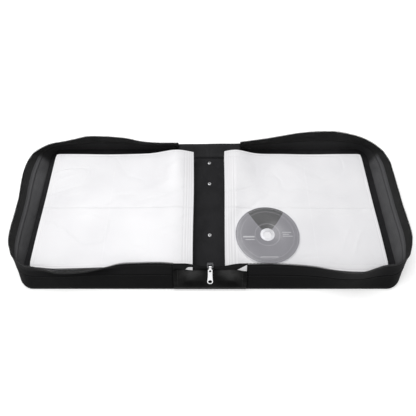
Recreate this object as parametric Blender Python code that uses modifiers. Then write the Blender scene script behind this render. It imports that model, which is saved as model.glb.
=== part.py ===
"""Zip-around storage wallet for discs, lying open and flat like a book.

Two padded covers with soft fabric walls are joined by a flat spine. Each cover
holds a block of sleeve pages, and one disc lies in a pocket of the right block.
Metres, +Z up, X across both covers, the zip's pull hangs at the front (-Y).
"""
from math import asin, cos, pi, radians, sin, sqrt

import bmesh
import bpy
from mathutils import Matrix, Vector

# Overall form
CASE_HALF_LENGTH = 0.342
CASE_HALF_DEPTH = 0.160
CORNER_RADIUS = 0.028
SEAT_GAP = 0.0003

# Spine and hinges
SPINE_HALF_WIDTH = 0.049
HINGE_X = 0.055
HINGE_GAP = 0.004
STRAP_WIDTH = 0.025
STRAP_HALF_LENGTH = 0.130
STRAP_LIFT = 0.0007
STRAP_THICKNESS = 0.0018
SPINE_SKIN = 0.0010
SPINE_BOARD = 0.0022
FLANGE_END_GAP = 0.0006
FLANGE_END_LIFT = 0.0005
FLANGE_THICKNESS = 0.0007

# Rivets through the spine and the carry strap
RIVET_Y = (0.118, 0.064, -0.055, -0.118)
RIVET_SHANK_RADIUS = 0.0022
RIVET_BORE_RADIUS = 0.0010
RIVET_HEAD_RADIUS = 0.0036
RIVET_HEAD = 0.0008
RIVET_FOOT = 0.0003
RIVET_ROLL = 0.0006

# Covers
COVER_SKIN = 0.0012
COVER_BOARD = 0.0024
COVER_LINING = 0.0009
BOARD_INSET = 0.0040

# Fabric walls and zip tape
WALL_THICKNESS = 0.0014
WALL_START = 0.009
WALL_FOOT_LIFT = 0.0002
WALL_FOOT = 0.0060
WALL_FABRIC = 0.0265
FABRIC_LOW_LEAN = 0.92
FABRIC_TOP_LEAN = 1.06
TAPE_WIDTH = 0.0190
TAPE_THICKNESS = 0.0009
TAPE_SEAM = 0.0007
TEETH_RADIUS = 0.0009
TEETH_GAP = 0.0004
PATH_STEP = 0.013
ARC_STEPS = 7

# End panels between the two walls, at the front and at the rear of the spine
PANEL_THICKNESS = 0.0012
PANEL_FOOT_HALF_WIDTH = 0.0560
PANEL_TOP_HALF_WIDTH = 0.0600
FRONT_PANEL_SLANT = 0.0380
FRONT_LEAN = radians(30.0)
FRONT_TAIL_WIDTH = 0.0095
REAR_PANEL_SLANT = 0.0150
REAR_LEAN = radians(24.0)
REAR_FOLD_WIDTH = 0.0150
REAR_FOLD_DROP = radians(118.0)

# Pages
PAGE_INNER_X = 0.031
PAGE_HINGE_X = 0.045
PAGE_HINGE_Z = HINGE_X - PAGE_HINGE_X
PAGE_SPLIT_GAP = 0.0006
PAGE_LOW_STEP_X = 0.061
PAGE_SIDE_GAP = 0.023
PAGE_FRONT_GAP = 0.031
PAGE_REAR_GAP = 0.0345
PAGE_OUTER_X = CASE_HALF_LENGTH - PAGE_SIDE_GAP
PAGE_FRONT_Y = PAGE_FRONT_GAP - CASE_HALF_DEPTH
PAGE_REAR_Y = CASE_HALF_DEPTH - PAGE_REAR_GAP
PAGE_TOP = 0.0285
PAGE_LEAVES = 12
PAGE_CORNER = 0.0040
LEAF_STEP = 0.0007

# Disc
DISC_RADIUS = 0.060
DISC_POCKET_EDGE = 0.0035
DISC_X = 0.106
DISC_Y = PAGE_FRONT_Y + DISC_POCKET_EDGE + DISC_RADIUS
DISC_HOLE_RADIUS = 0.0075
DISC_THICKNESS = 0.0012

# Slider and pull
SLIDER_WIDTH = 0.0110
SLIDER_LENGTH = 0.0090
SLIDER_DEPTH = 0.0052
SLIDER_SLOT = 0.0018
SLIDER_COVERS_TAPE = 0.0055
SLIDER_BEVEL = 0.0009
PIN_RADIUS = 0.0009
PIN_STAND_OFF = 0.0026
EAR_RADIUS = 0.0019
EAR_THICKNESS = 0.0012
EYE_GAP = 0.0003
EYE_WALL = 0.0009
EYE_WIDTH = 0.0040
TAB_LENGTH = 0.0370
TAB_START = 0.0014
TAB_NECK = 0.0045
TAB_SHOULDER = 0.0015
TAB_TOP_WIDTH = 0.0090
TAB_END_WIDTH = 0.0110
TAB_THICKNESS = 0.0014
TAB_SMALL_HOLE = 0.0015
TAB_LARGE_HOLE = 0.00325
TAB_SMALL_HOLE_DOWN = 0.0090
TAB_LARGE_HOLE_DOWN = 0.0310
TAB_SETTLE_GAP = 0.0006

# Heights that follow from the layers
SPINE_BOTTOM = STRAP_LIFT + STRAP_THICKNESS + SEAT_GAP
SPINE_BOARD_LOW = SPINE_BOTTOM + SPINE_SKIN + SEAT_GAP
SPINE_LINING_LOW = SPINE_BOARD_LOW + SPINE_BOARD + SEAT_GAP
SPINE_TOP = SPINE_LINING_LOW + SPINE_SKIN
COVER_BOARD_LOW = COVER_SKIN + SEAT_GAP
COVER_LINING_LOW = COVER_BOARD_LOW + COVER_BOARD + SEAT_GAP
COVER_TOP = COVER_LINING_LOW + COVER_LINING
COVER_INNER_X = HINGE_X + HINGE_GAP
WALL_INNER_X = HINGE_X + WALL_START
WALL_PATH_INSET = WALL_THICKNESS / 2
EDGE_INSET = WALL_THICKNESS + SEAT_GAP

# Lean of the soft walls, as the cloth lies: place along the wall, then how far
# the fabric, the lower tape and the upper tape lean for each unit of their
# width, as (outward X, Y). Places run from the front of the spine round the
# cover to the rear of the spine.
LEFT_LEANS = (
    ("front", 0.000, (0.00, 0.57), (0.00, 0.70), (0.00, 0.70)),
    ("front", 0.130, (0.00, 0.64), (0.00, 0.87), (0.00, 0.85)),
    ("front", 0.370, (0.00, 0.60), (0.00, 0.85), (0.00, 0.50)),
    ("front", 0.520, (0.00, 0.63), (0.00, 0.95), (0.00, -0.35)),
    ("front", 0.780, (0.00, 0.42), (0.00, 0.80), (0.00, -0.75)),
    ("front_corner", 0.500, (0.38, 0.50), (0.44, 0.62), (0.40, 0.30)),
    ("side", 0.300, (0.36, 0.05), (0.38, 0.06), (0.32, 0.05)),
    ("side", 0.500, (0.40, 0.00), (0.42, 0.00), (0.38, 0.00)),
    ("side", 0.780, (0.51, 0.00), (0.53, 0.00), (0.45, 0.00)),
    ("rear_corner", 0.500, (-0.20, -0.44), (-0.22, -0.50), (-0.15, -0.40)),
    ("rear", 0.060, (-0.06, -0.38), (-0.08, -0.46), (0.00, -0.40)),
    ("rear", 0.320, (0.00, -0.04), (0.00, -0.06), (0.00, 0.00)),
    ("rear", 0.800, (0.00, -0.20), (0.00, -0.25), (0.00, -0.15)),
    ("rear", 1.000, (0.00, -0.44), (0.00, -0.50), (0.00, -0.45)),
)
RIGHT_LEANS = (
    ("front", 0.000, (0.00, 0.57), (0.00, 0.70), (0.00, 0.70)),
    ("front", 0.140, (0.00, 0.60), (0.00, 0.76), (0.00, 0.74)),
    ("front", 0.380, (0.00, 0.52), (0.00, 0.60), (0.00, 0.52)),
    ("front", 0.780, (0.00, 0.22), (0.00, 0.20), (0.00, 0.12)),
    ("front", 0.970, (0.22, 0.46), (0.28, 0.56), (0.20, 0.40)),
    ("front_corner", 0.600, (0.44, 0.44), (0.48, 0.50), (0.40, 0.36)),
    ("side", 0.300, (0.43, 0.06), (0.45, 0.07), (0.39, 0.04)),
    ("side", 0.500, (0.41, 0.00), (0.43, 0.00), (0.38, 0.00)),
    ("side", 0.800, (0.41, 0.00), (0.43, 0.00), (0.38, 0.00)),
    ("rear_corner", 0.500, (0.20, 0.02), (0.20, 0.00), (0.18, 0.00)),
    ("rear", 0.250, (0.00, 0.12), (0.00, 0.14), (0.00, 0.10)),
    ("rear", 0.750, (0.00, 0.02), (0.00, 0.02), (0.00, 0.02)),
    ("rear", 1.000, (0.00, -0.44), (0.00, -0.50), (0.00, -0.45)),
)


def clear_scene():
    for old in list(bpy.data.objects):
        bpy.data.objects.remove(old, do_unlink=True)


def new_collection(name):
    group = bpy.data.collections.new(name)
    bpy.context.scene.collection.children.link(group)
    return group


def make_material(name, colour, roughness, metallic=0.0):
    material = bpy.data.materials.new(name)
    material.use_nodes = True
    shader = material.node_tree.nodes["Principled BSDF"]
    shader.inputs["Base Color"].default_value = (*colour, 1.0)
    shader.inputs["Roughness"].default_value = roughness
    shader.inputs["Metallic"].default_value = metallic
    return material


def make_object(name, mesh, material, parent=None):
    piece = bpy.data.objects.new(name, mesh)
    PIECES.objects.link(piece)
    piece.data.materials.append(material)
    if parent is not None:
        piece.parent = parent
        piece.matrix_parent_inverse = Matrix.Translation(parent.location).inverted()
    return piece


def make_empty(name, place):
    empty = bpy.data.objects.new(name, None)
    empty.location = place
    empty.hide_render = True
    PIECES.objects.link(empty)
    return empty


def mesh_from(bm, name):
    mesh = bpy.data.meshes.new(name)
    bm.to_mesh(mesh)
    bm.free()
    return mesh


def thicken(piece, thickness, offset=0.0):
    solidify = piece.modifiers.new("thickness", "SOLIDIFY")
    solidify.thickness = thickness
    solidify.offset = offset
    solidify.use_rim = True


def cut(piece, cutter):
    cutter.hide_render = True
    cutter.display_type = "WIRE"
    boolean = piece.modifiers.new("cut", "BOOLEAN")
    boolean.operation = "DIFFERENCE"
    boolean.solver = "EXACT"
    boolean.object = cutter


def join(piece, other):
    other.hide_render = True
    other.display_type = "WIRE"
    boolean = piece.modifiers.new("join", "BOOLEAN")
    boolean.operation = "UNION"
    boolean.solver = "EXACT"
    boolean.object = other


def arc(centre, radius, start, end, steps):
    turns = [start + (end - start) * i / steps for i in range(steps + 1)]
    return [(centre[0] + radius * cos(a), centre[1] + radius * sin(a)) for a in turns]


def panel_outline(inner_x, outer_x, half_depth, radius, side):
    """Outline of a panel: square at the spine, round at its outer corners."""
    front = arc((outer_x - radius, radius - half_depth), radius, -pi / 2, 0, ARC_STEPS)
    rear = arc((outer_x - radius, half_depth - radius), radius, 0, pi / 2, ARC_STEPS)
    points = [(inner_x, -half_depth), *front, *rear, (inner_x, half_depth)]
    return [(side * x, y) for x, y in points]


def slab(name, outline, low, thickness, material, parent=None):
    """A flat sheet of even thickness lying on the height named low."""
    bm = bmesh.new()
    face = bm.faces.new([bm.verts.new((x, y, low)) for x, y in outline])
    bm.normal_update()
    if face.normal.z > 0:
        face.normal_flip()
    piece = make_object(name, mesh_from(bm, name), material, parent)
    thicken(piece, thickness, -1.0)
    return piece


def loft(name, rows, material, parent=None, close_rows=False):
    """A surface through rows of points; each row holds as many points."""
    bm = bmesh.new()
    grid = [[bm.verts.new(p) for p in row] for row in rows]
    for low, high in zip(grid, grid[1:]):
        count = len(low) if close_rows else len(low) - 1
        for i in range(count):
            j = (i + 1) % len(low)
            bm.faces.new((low[i], low[j], high[j], high[i]))
    if close_rows:
        bm.faces.new(grid[0][::-1])
        bm.faces.new(grid[-1])
        bmesh.ops.recalc_face_normals(bm, faces=bm.faces[:])
    return make_object(name, mesh_from(bm, name), material, parent)


def cylinder(name, radius, depth, centre, material, along="Z", sides=24, hidden=False):
    turn = {"Z": Matrix(), "X": Matrix.Rotation(pi / 2, 4, "Y")}[along]
    bm = bmesh.new()
    bmesh.ops.create_cone(
        bm, cap_ends=True, segments=sides, radius1=radius, radius2=radius, depth=depth
    )
    bmesh.ops.transform(bm, matrix=Matrix.Translation(centre) @ turn, verts=bm.verts[:])
    piece = make_object(name, mesh_from(bm, name), material)
    if hidden:
        PIECES.objects.unlink(piece)
        CUTTERS.objects.link(piece)
    return piece


def block(name, size, frame, material, hidden=False, bevel=0.0):
    """A box of the given size, centred in a frame."""
    bm = bmesh.new()
    bmesh.ops.create_cube(bm, size=1.0, matrix=frame @ Matrix.Diagonal((*size, 1.0)))
    if bevel:
        bmesh.ops.bevel(
            bm, geom=bm.edges[:], offset=bevel, segments=2, affect="EDGES", profile=0.5
        )
    piece = make_object(name, mesh_from(bm, name), material)
    if hidden:
        PIECES.objects.unlink(piece)
        CUTTERS.objects.link(piece)
    return piece


def wall_path():
    """Points of the wall's foot with their place, from front spine end to rear."""
    outer_x = CASE_HALF_LENGTH - WALL_PATH_INSET
    outer_y = CASE_HALF_DEPTH - WALL_PATH_INSET
    radius = CORNER_RADIUS - WALL_PATH_INSET
    straight = outer_x - radius - WALL_INNER_X
    depth = 2 * (outer_y - radius)
    points = []
    front_steps = round(straight / PATH_STEP)
    side_steps = round(depth / PATH_STEP)
    for i in range(front_steps):
        share = i / front_steps
        points.append((WALL_INNER_X + share * straight, -outer_y, ("front", share)))
    front = arc((outer_x - radius, radius - outer_y), radius, -pi / 2, 0, ARC_STEPS)
    for i, (x, y) in enumerate(front[:-1]):
        points.append((x, y, ("front_corner", i / ARC_STEPS)))
    for i in range(side_steps):
        share = i / side_steps
        points.append((outer_x, radius - outer_y + share * depth, ("side", share)))
    rear = arc((outer_x - radius, outer_y - radius), radius, 0, pi / 2, ARC_STEPS)
    for i, (x, y) in enumerate(rear[:-1]):
        points.append((x, y, ("rear_corner", i / ARC_STEPS)))
    for i in range(front_steps + 1):
        share = i / front_steps
        points.append((outer_x - radius - share * straight, outer_y, ("rear", share)))
    return points


STRETCHES = ("front", "front_corner", "side", "rear_corner", "rear")


def place_value(place):
    return STRETCHES.index(place[0]) + place[1]


def lean_at(place, leans):
    """Leans of the three links at a place, eased between the stated places."""
    here = place_value(place)
    before, after = leans[0], leans[-1]
    for first, second in zip(leans, leans[1:]):
        if place_value(first[:2]) <= here <= place_value(second[:2]):
            before, after = first, second
            break
    start, end = place_value(before[:2]), place_value(after[:2])
    share = (here - start) / (end - start)
    ease = share * share * (3 - 2 * share)
    return [Vector(a).lerp(Vector(b), ease) for a, b in zip(before[2:], after[2:])]


def link_step(lean, width):
    rise = sqrt(max(0.0, 1.0 - lean.length_squared))
    return Vector((lean.x, lean.y, rise)) * width


def wall_rows(side, leans):
    """Rows of the wall's fabric and of its tape, along the whole path."""
    fabric = [[], [], [], []]
    tape = [[], [], []]
    for x, y, place in wall_path():
        lean, low_tape, top_tape = lean_at(place, leans)
        foot = Vector((x, y, WALL_FOOT_LIFT))
        knee = foot + Vector((0, 0, WALL_FOOT))
        middle = knee + link_step(lean * FABRIC_LOW_LEAN, WALL_FABRIC / 2)
        seam = middle + link_step(lean * FABRIC_TOP_LEAN, WALL_FABRIC / 2)
        tape_low = seam + link_step(lean * FABRIC_TOP_LEAN, TAPE_SEAM)
        tape_mid = tape_low + link_step(low_tape, TAPE_WIDTH / 2)
        tape_top = tape_mid + link_step(top_tape, TAPE_WIDTH / 2)
        for row, point in zip(fabric, (foot, knee, middle, seam)):
            row.append((side * point.x, point.y, point.z))
        for row, point in zip(tape, (tape_low, tape_mid, tape_top)):
            row.append((side * point.x, point.y, point.z))
    return fabric, tape


def teeth_line(tape):
    """The line of the teeth, square off the tape's upper edge."""
    middle, top = tape[-2:]
    line = []
    for i, place in enumerate(top):
        ahead = Vector(top[min(i + 1, len(top) - 1)])
        along = (ahead - Vector(top[max(i - 1, 0)])).normalized()
        up = Vector(place) - Vector(middle[i])
        up -= along * up.dot(along)
        line.append(Vector(place) + up.normalized() * (TEETH_RADIUS + TEETH_GAP))
    return line


def tube(name, points, radius, material, parent=None, resolution=1):
    """A closed round bead along points, made a mesh with welded caps."""
    curve = bpy.data.curves.new(name + "_line", "CURVE")
    curve.dimensions = "3D"
    curve.bevel_depth = radius
    curve.bevel_resolution = resolution
    curve.use_fill_caps = True
    spline = curve.splines.new("POLY")
    spline.points.add(len(points) - 1)
    for point, place in zip(spline.points, points):
        point.co = (*place, 1.0)
    guide = bpy.data.objects.new(name + "_line", curve)
    PIECES.objects.link(guide)
    bpy.context.view_layer.update()
    ready = guide.evaluated_get(bpy.context.evaluated_depsgraph_get())
    mesh = bpy.data.meshes.new_from_object(ready)
    bpy.data.objects.remove(guide, do_unlink=True)
    bm = bmesh.new()
    bm.from_mesh(mesh)
    bmesh.ops.remove_doubles(bm, verts=bm.verts[:], dist=0.00001)
    bmesh.ops.recalc_face_normals(bm, faces=bm.faces[:])
    bm.to_mesh(mesh)
    bm.free()
    mesh.materials.clear()
    return make_object(name, mesh, material, parent)


def build_cover(label, side, leans, parent):
    outer_x = CASE_HALF_LENGTH - EDGE_INSET
    half_depth = CASE_HALF_DEPTH - EDGE_INSET
    radius = CORNER_RADIUS - EDGE_INSET
    skin = panel_outline(COVER_INNER_X, outer_x, half_depth, radius, side)
    board = panel_outline(
        COVER_INNER_X + BOARD_INSET, outer_x - BOARD_INSET,
        half_depth - BOARD_INSET, radius - BOARD_INSET, side,
    )
    slab(label + "_cover_shell", skin, 0.0, COVER_SKIN, FABRIC, parent)
    slab(label + "_cover_board", board, COVER_BOARD_LOW, COVER_BOARD, BOARD, parent)
    slab(label + "_cover_lining", skin, COVER_LINING_LOW, COVER_LINING, LINING, parent)
    fabric, tape = wall_rows(side, leans)
    wall = loft(label + "_wall", fabric, FABRIC, parent)
    thicken(wall, WALL_THICKNESS)
    band = loft(label + "_zip_tape", tape, TAPE, parent)
    thicken(band, TAPE_THICKNESS)
    tube(label + "_zip_teeth", teeth_line(tape), TEETH_RADIUS, TEETH, parent)


def leaf_ring(inner_x, outer_x, inset, side, height):
    """A leaf's outline at a height, inset all round, with cut corners."""
    x0, x1 = inner_x + inset, outer_x - inset
    y0, y1 = PAGE_FRONT_Y + inset, PAGE_REAR_Y - inset
    c = PAGE_CORNER
    points = [
        (x0, y0), (x1 - c, y0), (x1 - c * 0.3, y0 + c * 0.3), (x1, y0 + c),
        (x1, y1 - c), (x1 - c * 0.3, y1 - c * 0.3), (x1 - c, y1), (x0, y1),
    ]
    return [(side * x, y, height) for x, y in points]


def build_pages(name, full_inner_x, outer_x, low, side, parent):
    """A block of leaves: each leaf's edge stands proud of the gap between leaves.

    The leaves that would run into the spine start beyond it.
    """
    pitch = (PAGE_TOP - low) / PAGE_LEAVES
    rows = []
    for leaf in range(PAGE_LEAVES):
        base = low + leaf * pitch
        inner_x = full_inner_x if base > SPINE_TOP + SEAT_GAP else PAGE_LOW_STEP_X
        slip = LEAF_STEP * (0.5 + 0.5 * sin(leaf * 2.4))
        for share, inset in ((0.0, LEAF_STEP * 2), (0.2, slip), (0.8, slip)):
            rows.append(leaf_ring(inner_x, outer_x, inset, side, base + share * pitch))
    rows.append(leaf_ring(inner_x, outer_x, LEAF_STEP * 2, side, PAGE_TOP))
    return loft(name, rows, PAGE, parent, close_rows=True)


def build_disc(parent):
    low = PAGE_TOP + SEAT_GAP
    centre = (DISC_X, DISC_Y, low + DISC_THICKNESS / 2)
    disc = cylinder("disc", DISC_RADIUS, DISC_THICKNESS, centre, DISC, sides=72)
    disc.parent = parent
    disc.matrix_parent_inverse = Matrix.Translation(parent.location).inverted()
    hole = cylinder(
        "disc_hole", DISC_HOLE_RADIUS, DISC_THICKNESS * 4, centre, DISC, sides=32, hidden=True
    )
    cut(disc, hole)
    return disc


def spine_outline(half_width):
    half_depth = CASE_HALF_DEPTH - EDGE_INSET
    return [
        (-half_width, -half_depth), (half_width, -half_depth),
        (half_width, half_depth), (-half_width, half_depth),
    ]


def spine_skin_rows():
    """The outer skin across the spine, with its two thin hinge flanges."""
    half_depth = CASE_HALF_DEPTH - EDGE_INSET
    end_x = COVER_INNER_X - FLANGE_END_GAP
    low_end = FLANGE_END_LIFT
    top = SPINE_BOTTOM + SPINE_SKIN
    half = [
        (SPINE_HALF_WIDTH, SPINE_BOTTOM), (end_x, low_end),
        (end_x, low_end + FLANGE_THICKNESS), (SPINE_HALF_WIDTH, top),
    ]
    section = half + [(-x, z) for x, z in half[::-1]]
    return [[(x, y, z) for x, z in section] for y in (-half_depth, half_depth)]


def build_spine():
    board_width = SPINE_HALF_WIDTH - BOARD_INSET / 2
    shell = loft("spine_shell", spine_skin_rows(), FABRIC, close_rows=True)
    board = slab("spine_board", spine_outline(board_width), SPINE_BOARD_LOW, SPINE_BOARD, BOARD)
    lining = slab(
        "spine_lining", spine_outline(SPINE_HALF_WIDTH), SPINE_LINING_LOW, SPINE_SKIN, LINING
    )
    strap = build_strap()
    for number, y in enumerate(RIVET_Y, start=1):
        hole = cylinder(
            "rivet_hole_%d" % number, RIVET_SHANK_RADIUS + SEAT_GAP, 4 * SPINE_TOP,
            (0, y, 0), FABRIC, sides=20, hidden=True,
        )
        for layer in (shell, board, lining, strap):
            cut(layer, hole)
        build_rivet("spine_rivet_%d" % number, y)


def build_strap():
    """The carry strap's webbing, flat under the spine, with round ends."""
    radius = STRAP_WIDTH / 2
    run = STRAP_HALF_LENGTH - radius
    points = arc((0, run), radius, 0, pi, 12) + arc((0, -run), radius, pi, 2 * pi, 12)
    return slab("carry_strap", points, STRAP_LIFT, STRAP_THICKNESS, WEBBING)


def build_rivet(name, y):
    """A tubular rivet: foot under the strap, hollow shank, rolled head on top."""
    foot_low = STRAP_LIFT - SEAT_GAP - RIVET_FOOT
    foot_top = STRAP_LIFT - SEAT_GAP
    head_low = SPINE_TOP + SEAT_GAP
    head_top = head_low + RIVET_HEAD
    profile = [
        (RIVET_BORE_RADIUS, head_top - RIVET_HEAD * 0.35),
        (RIVET_BORE_RADIUS + RIVET_ROLL, head_top),
        (RIVET_HEAD_RADIUS * 0.8, head_top - RIVET_HEAD * 0.15),
        (RIVET_HEAD_RADIUS, head_low + RIVET_HEAD * 0.3),
        (RIVET_HEAD_RADIUS, head_low),
        (RIVET_SHANK_RADIUS, head_low),
        (RIVET_SHANK_RADIUS, foot_top),
        (RIVET_HEAD_RADIUS, foot_top),
        (RIVET_HEAD_RADIUS, foot_low),
        (RIVET_BORE_RADIUS, foot_low),
    ]
    bm = bmesh.new()
    verts = [bm.verts.new((r, 0, z)) for r, z in profile]
    loop = verts + [verts[0]]
    for first, second in zip(loop, loop[1:]):
        bm.edges.new((first, second))
    rivet = make_object(name, mesh_from(bm, name), STEEL)
    rivet.location = (0, y, 0)
    turn = rivet.modifiers.new("turn", "SCREW")
    turn.axis = "Z"
    turn.angle = 2 * pi
    turn.steps = 20
    turn.render_steps = 20
    turn.use_merge_vertices = True
    turn.merge_threshold = 0.00001
    return rivet


def front_slope():
    """Up along the front end panel, and outward from it."""
    up = Vector((0, sin(FRONT_LEAN), cos(FRONT_LEAN)))
    out = Vector((0, -cos(FRONT_LEAN), sin(FRONT_LEAN)))
    return up, out


def sheet_rows(points, half_widths):
    return [
        [(share * half, p.y, p.z) for share in (-1.0, -0.5, 0.0, 0.5, 1.0)]
        for p, half in zip(points, half_widths)
    ]


def front_panel_knee():
    inset = PANEL_THICKNESS / 2
    foot_y = -(CASE_HALF_DEPTH - inset)
    return Vector((0, foot_y, WALL_FOOT_LIFT)), Vector((0, foot_y, SPINE_TOP + PANEL_THICKNESS))


def build_end_panels():
    up, _ = front_slope()
    foot, knee = front_panel_knee()
    top = knee + up * FRONT_PANEL_SLANT
    widths = (PANEL_FOOT_HALF_WIDTH, PANEL_FOOT_HALF_WIDTH, PANEL_TOP_HALF_WIDTH)
    front = loft("front_end_panel", sheet_rows((foot, knee, top), widths), GLOSS)
    thicken(front, PANEL_THICKNESS)
    tail_low = top + up * TAPE_SEAM
    tail_top = tail_low + up * FRONT_TAIL_WIDTH
    tail_widths = (PANEL_TOP_HALF_WIDTH, PANEL_TOP_HALF_WIDTH)
    tail = loft("front_zip_tail", sheet_rows((tail_low, tail_top), tail_widths), TAPE)
    thicken(tail, TAPE_THICKNESS)
    rear_foot = Vector((0, -foot.y, foot.z))
    rear_knee = Vector((0, -knee.y, knee.z))
    rise = Vector((0, -sin(REAR_LEAN), cos(REAR_LEAN)))
    fold = rear_knee + rise * REAR_PANEL_SLANT
    drop = Vector((0, -sin(REAR_FOLD_DROP), cos(REAR_FOLD_DROP)))
    lip = fold + drop * (TAPE_SEAM + PANEL_THICKNESS / 2)
    rear = loft("rear_end_panel", sheet_rows((rear_foot, rear_knee, fold), widths), GLOSS)
    thicken(rear, PANEL_THICKNESS)
    end = lip + drop * REAR_FOLD_WIDTH
    rear_tail = loft("rear_zip_tail", sheet_rows((lip, end), tail_widths), TAPE)
    thicken(rear_tail, TAPE_THICKNESS)
    return tail_top


def slider_frame(tail_top):
    """Frame on the slider: X along the zip to the left, Y out of the tape, Z up it."""
    up, out = front_slope()
    middle = tail_top - up * (SLIDER_COVERS_TAPE - SLIDER_LENGTH / 2)
    axes = Matrix(((-1, 0, 0), tuple(out), tuple(up))).transposed().to_4x4()
    return Matrix.Translation(middle) @ axes


def build_slider(tail_top):
    frame = slider_frame(tail_top)
    size = (SLIDER_WIDTH, SLIDER_DEPTH, SLIDER_LENGTH)
    body = block("zip_slider", size, frame, STEEL, bevel=SLIDER_BEVEL)
    slot_height = SLIDER_COVERS_TAPE + SEAT_GAP
    low = Matrix.Translation((0, 0, -SLIDER_LENGTH / 2))
    slot_size = (SLIDER_WIDTH * 2, SLIDER_SLOT, slot_height * 2)
    cut(body, block("slider_slot", slot_size, frame @ low, STEEL, hidden=True))
    pin_out = SLIDER_DEPTH / 2 + PIN_STAND_OFF
    for side in (-1, 1):
        ear_x = side * (EYE_WIDTH / 2 + EYE_GAP + EAR_THICKNESS / 2)
        ear_size = (EAR_THICKNESS, pin_out + EAR_RADIUS * 0.6, 2 * EAR_RADIUS)
        place = Matrix.Translation((ear_x, (pin_out + EAR_RADIUS * 1.4) / 2, 0))
        ear = block("slider_ear_%d" % (side + 1), ear_size, frame @ place, STEEL, hidden=True)
        join(body, ear)
    pin = cylinder(
        "slider_pin", PIN_RADIUS, EYE_WIDTH + EYE_GAP * 2 + EAR_THICKNESS,
        frame @ Vector((0, pin_out, 0)), STEEL, along="X", sides=16, hidden=True,
    )
    join(body, pin)
    return frame @ Vector((0, pin_out, 0))


def tab_hang(pin_height):
    """Angle from upright at which the tab's end comes to rest on the panel."""
    drop = pin_height - PANEL_THICKNESS / 2 - TAB_THICKNESS / 2 - TAB_SETTLE_GAP
    return FRONT_LEAN - asin(drop / TAB_LENGTH)


def build_pull(pivot):
    """The pull: an eye round the slider's pin, a neck and a pierced tab."""
    hang = tab_hang(SLIDER_DEPTH / 2 + PIN_STAND_OFF)
    joint = make_empty("pull_joint", pivot)
    down = Vector((0, -sin(hang), -cos(hang)))
    out = Vector((0, -cos(hang), sin(hang)))
    axes = Matrix(((-1, 0, 0), tuple(out), tuple(-down))).transposed().to_4x4()
    frame = Matrix.Translation(pivot) @ axes
    eye_inner = PIN_RADIUS + EYE_GAP
    eye_outer = eye_inner + EYE_WALL
    half_top, half_end = TAB_TOP_WIDTH / 2, TAB_END_WIDTH / 2
    round_end = arc((0, half_end - TAB_LENGTH), half_end, 0, -pi, 12)
    outline = [
        (-EYE_WIDTH / 2, -TAB_START), (EYE_WIDTH / 2, -TAB_START),
        (EYE_WIDTH / 2, -TAB_NECK), (half_top, -TAB_NECK - TAB_SHOULDER),
        *round_end,
        (-half_top, -TAB_NECK - TAB_SHOULDER), (-EYE_WIDTH / 2, -TAB_NECK),
    ]
    bm = bmesh.new()
    bm.faces.new([bm.verts.new(frame @ Vector((x, 0, z))) for x, z in outline])
    tab = make_object("pull_tab", mesh_from(bm, "pull_tab"), STEEL, joint)
    thicken(tab, TAB_THICKNESS)
    eye = cylinder(
        "pull_eye", eye_outer, EYE_WIDTH, pivot, STEEL, along="X", sides=20, hidden=True
    )
    join(tab, eye)
    bore = cylinder(
        "pull_bore", eye_inner, EYE_WIDTH * 3, pivot, STEEL, along="X", sides=20, hidden=True
    )
    cut(tab, bore)
    lean = Matrix.Rotation(pi / 2 - hang, 4, "X")
    for name, radius, place in (
        ("pull_small_hole", TAB_SMALL_HOLE, TAB_SMALL_HOLE_DOWN),
        ("pull_large_hole", TAB_LARGE_HOLE, TAB_LARGE_HOLE_DOWN),
    ):
        hole = cylinder(name, radius, EYE_WIDTH * 2, (0, 0, 0), STEEL, sides=20, hidden=True)
        hole.matrix_world = Matrix.Translation(frame @ Vector((0, 0, -place))) @ lean
        cut(tab, hole)


def main():
    build_spine()
    slider_at = build_end_panels()
    build_pull(build_slider(slider_at))
    left_hinge = make_empty("left_cover_joint", (-HINGE_X, 0, 0))
    right_hinge = make_empty("right_cover_joint", (HINGE_X, 0, 0))
    build_cover("left", -1, LEFT_LEANS, left_hinge)
    build_cover("right", 1, RIGHT_LEANS, right_hinge)
    page_low = COVER_TOP + SEAT_GAP
    margin_low = SPINE_TOP + RIVET_HEAD + 2 * SEAT_GAP
    block_start = PAGE_HINGE_X + PAGE_SPLIT_GAP
    for label, side in (("left", -1), ("right", 1)):
        place = (side * PAGE_HINGE_X, 0, PAGE_HINGE_Z)
        page_hinge = make_empty(label + "_page_joint", place)
        build_pages(label + "_pages", block_start, PAGE_OUTER_X, page_low, side, page_hinge)
        build_pages(label + "_page_margin", PAGE_INNER_X, PAGE_HINGE_X, margin_low, side, None)
    build_disc(page_hinge)


clear_scene()
PIECES = new_collection("disc_wallet")
CUTTERS = new_collection("disc_wallet_cutters")
FABRIC = make_material("black_nylon", (0.018, 0.018, 0.020), 0.80)
LINING = make_material("grey_lining", (0.055, 0.055, 0.058), 0.85)
TAPE = make_material("zip_tape_black", (0.028, 0.028, 0.030), 0.85)
TEETH = make_material("zip_teeth_black", (0.020, 0.020, 0.022), 0.45)
GLOSS = make_material("coated_black", (0.022, 0.022, 0.024), 0.35)
WEBBING = make_material("black_webbing", (0.020, 0.020, 0.022), 0.75)
BOARD = make_material("stiffener_board", (0.32, 0.26, 0.18), 0.90)
PAGE = make_material("white_sleeves", (0.86, 0.86, 0.90), 0.35)
DISC = make_material("grey_disc", (0.26, 0.26, 0.28), 0.35)
STEEL = make_material("bright_steel", (0.72, 0.72, 0.73), 0.25, 1.0)
main()
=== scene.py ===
"""Looks of the disc wallet: cloth walls, zip, sleeve pages, disc and steel fittings.

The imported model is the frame. Soft pieces are built here on the same sizes, and
hard pieces keep their solids and get their finish.
"""
from math import cos, exp, pi, radians, sin, sqrt

import bmesh
import bpy
from mathutils import Matrix, Vector


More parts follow.
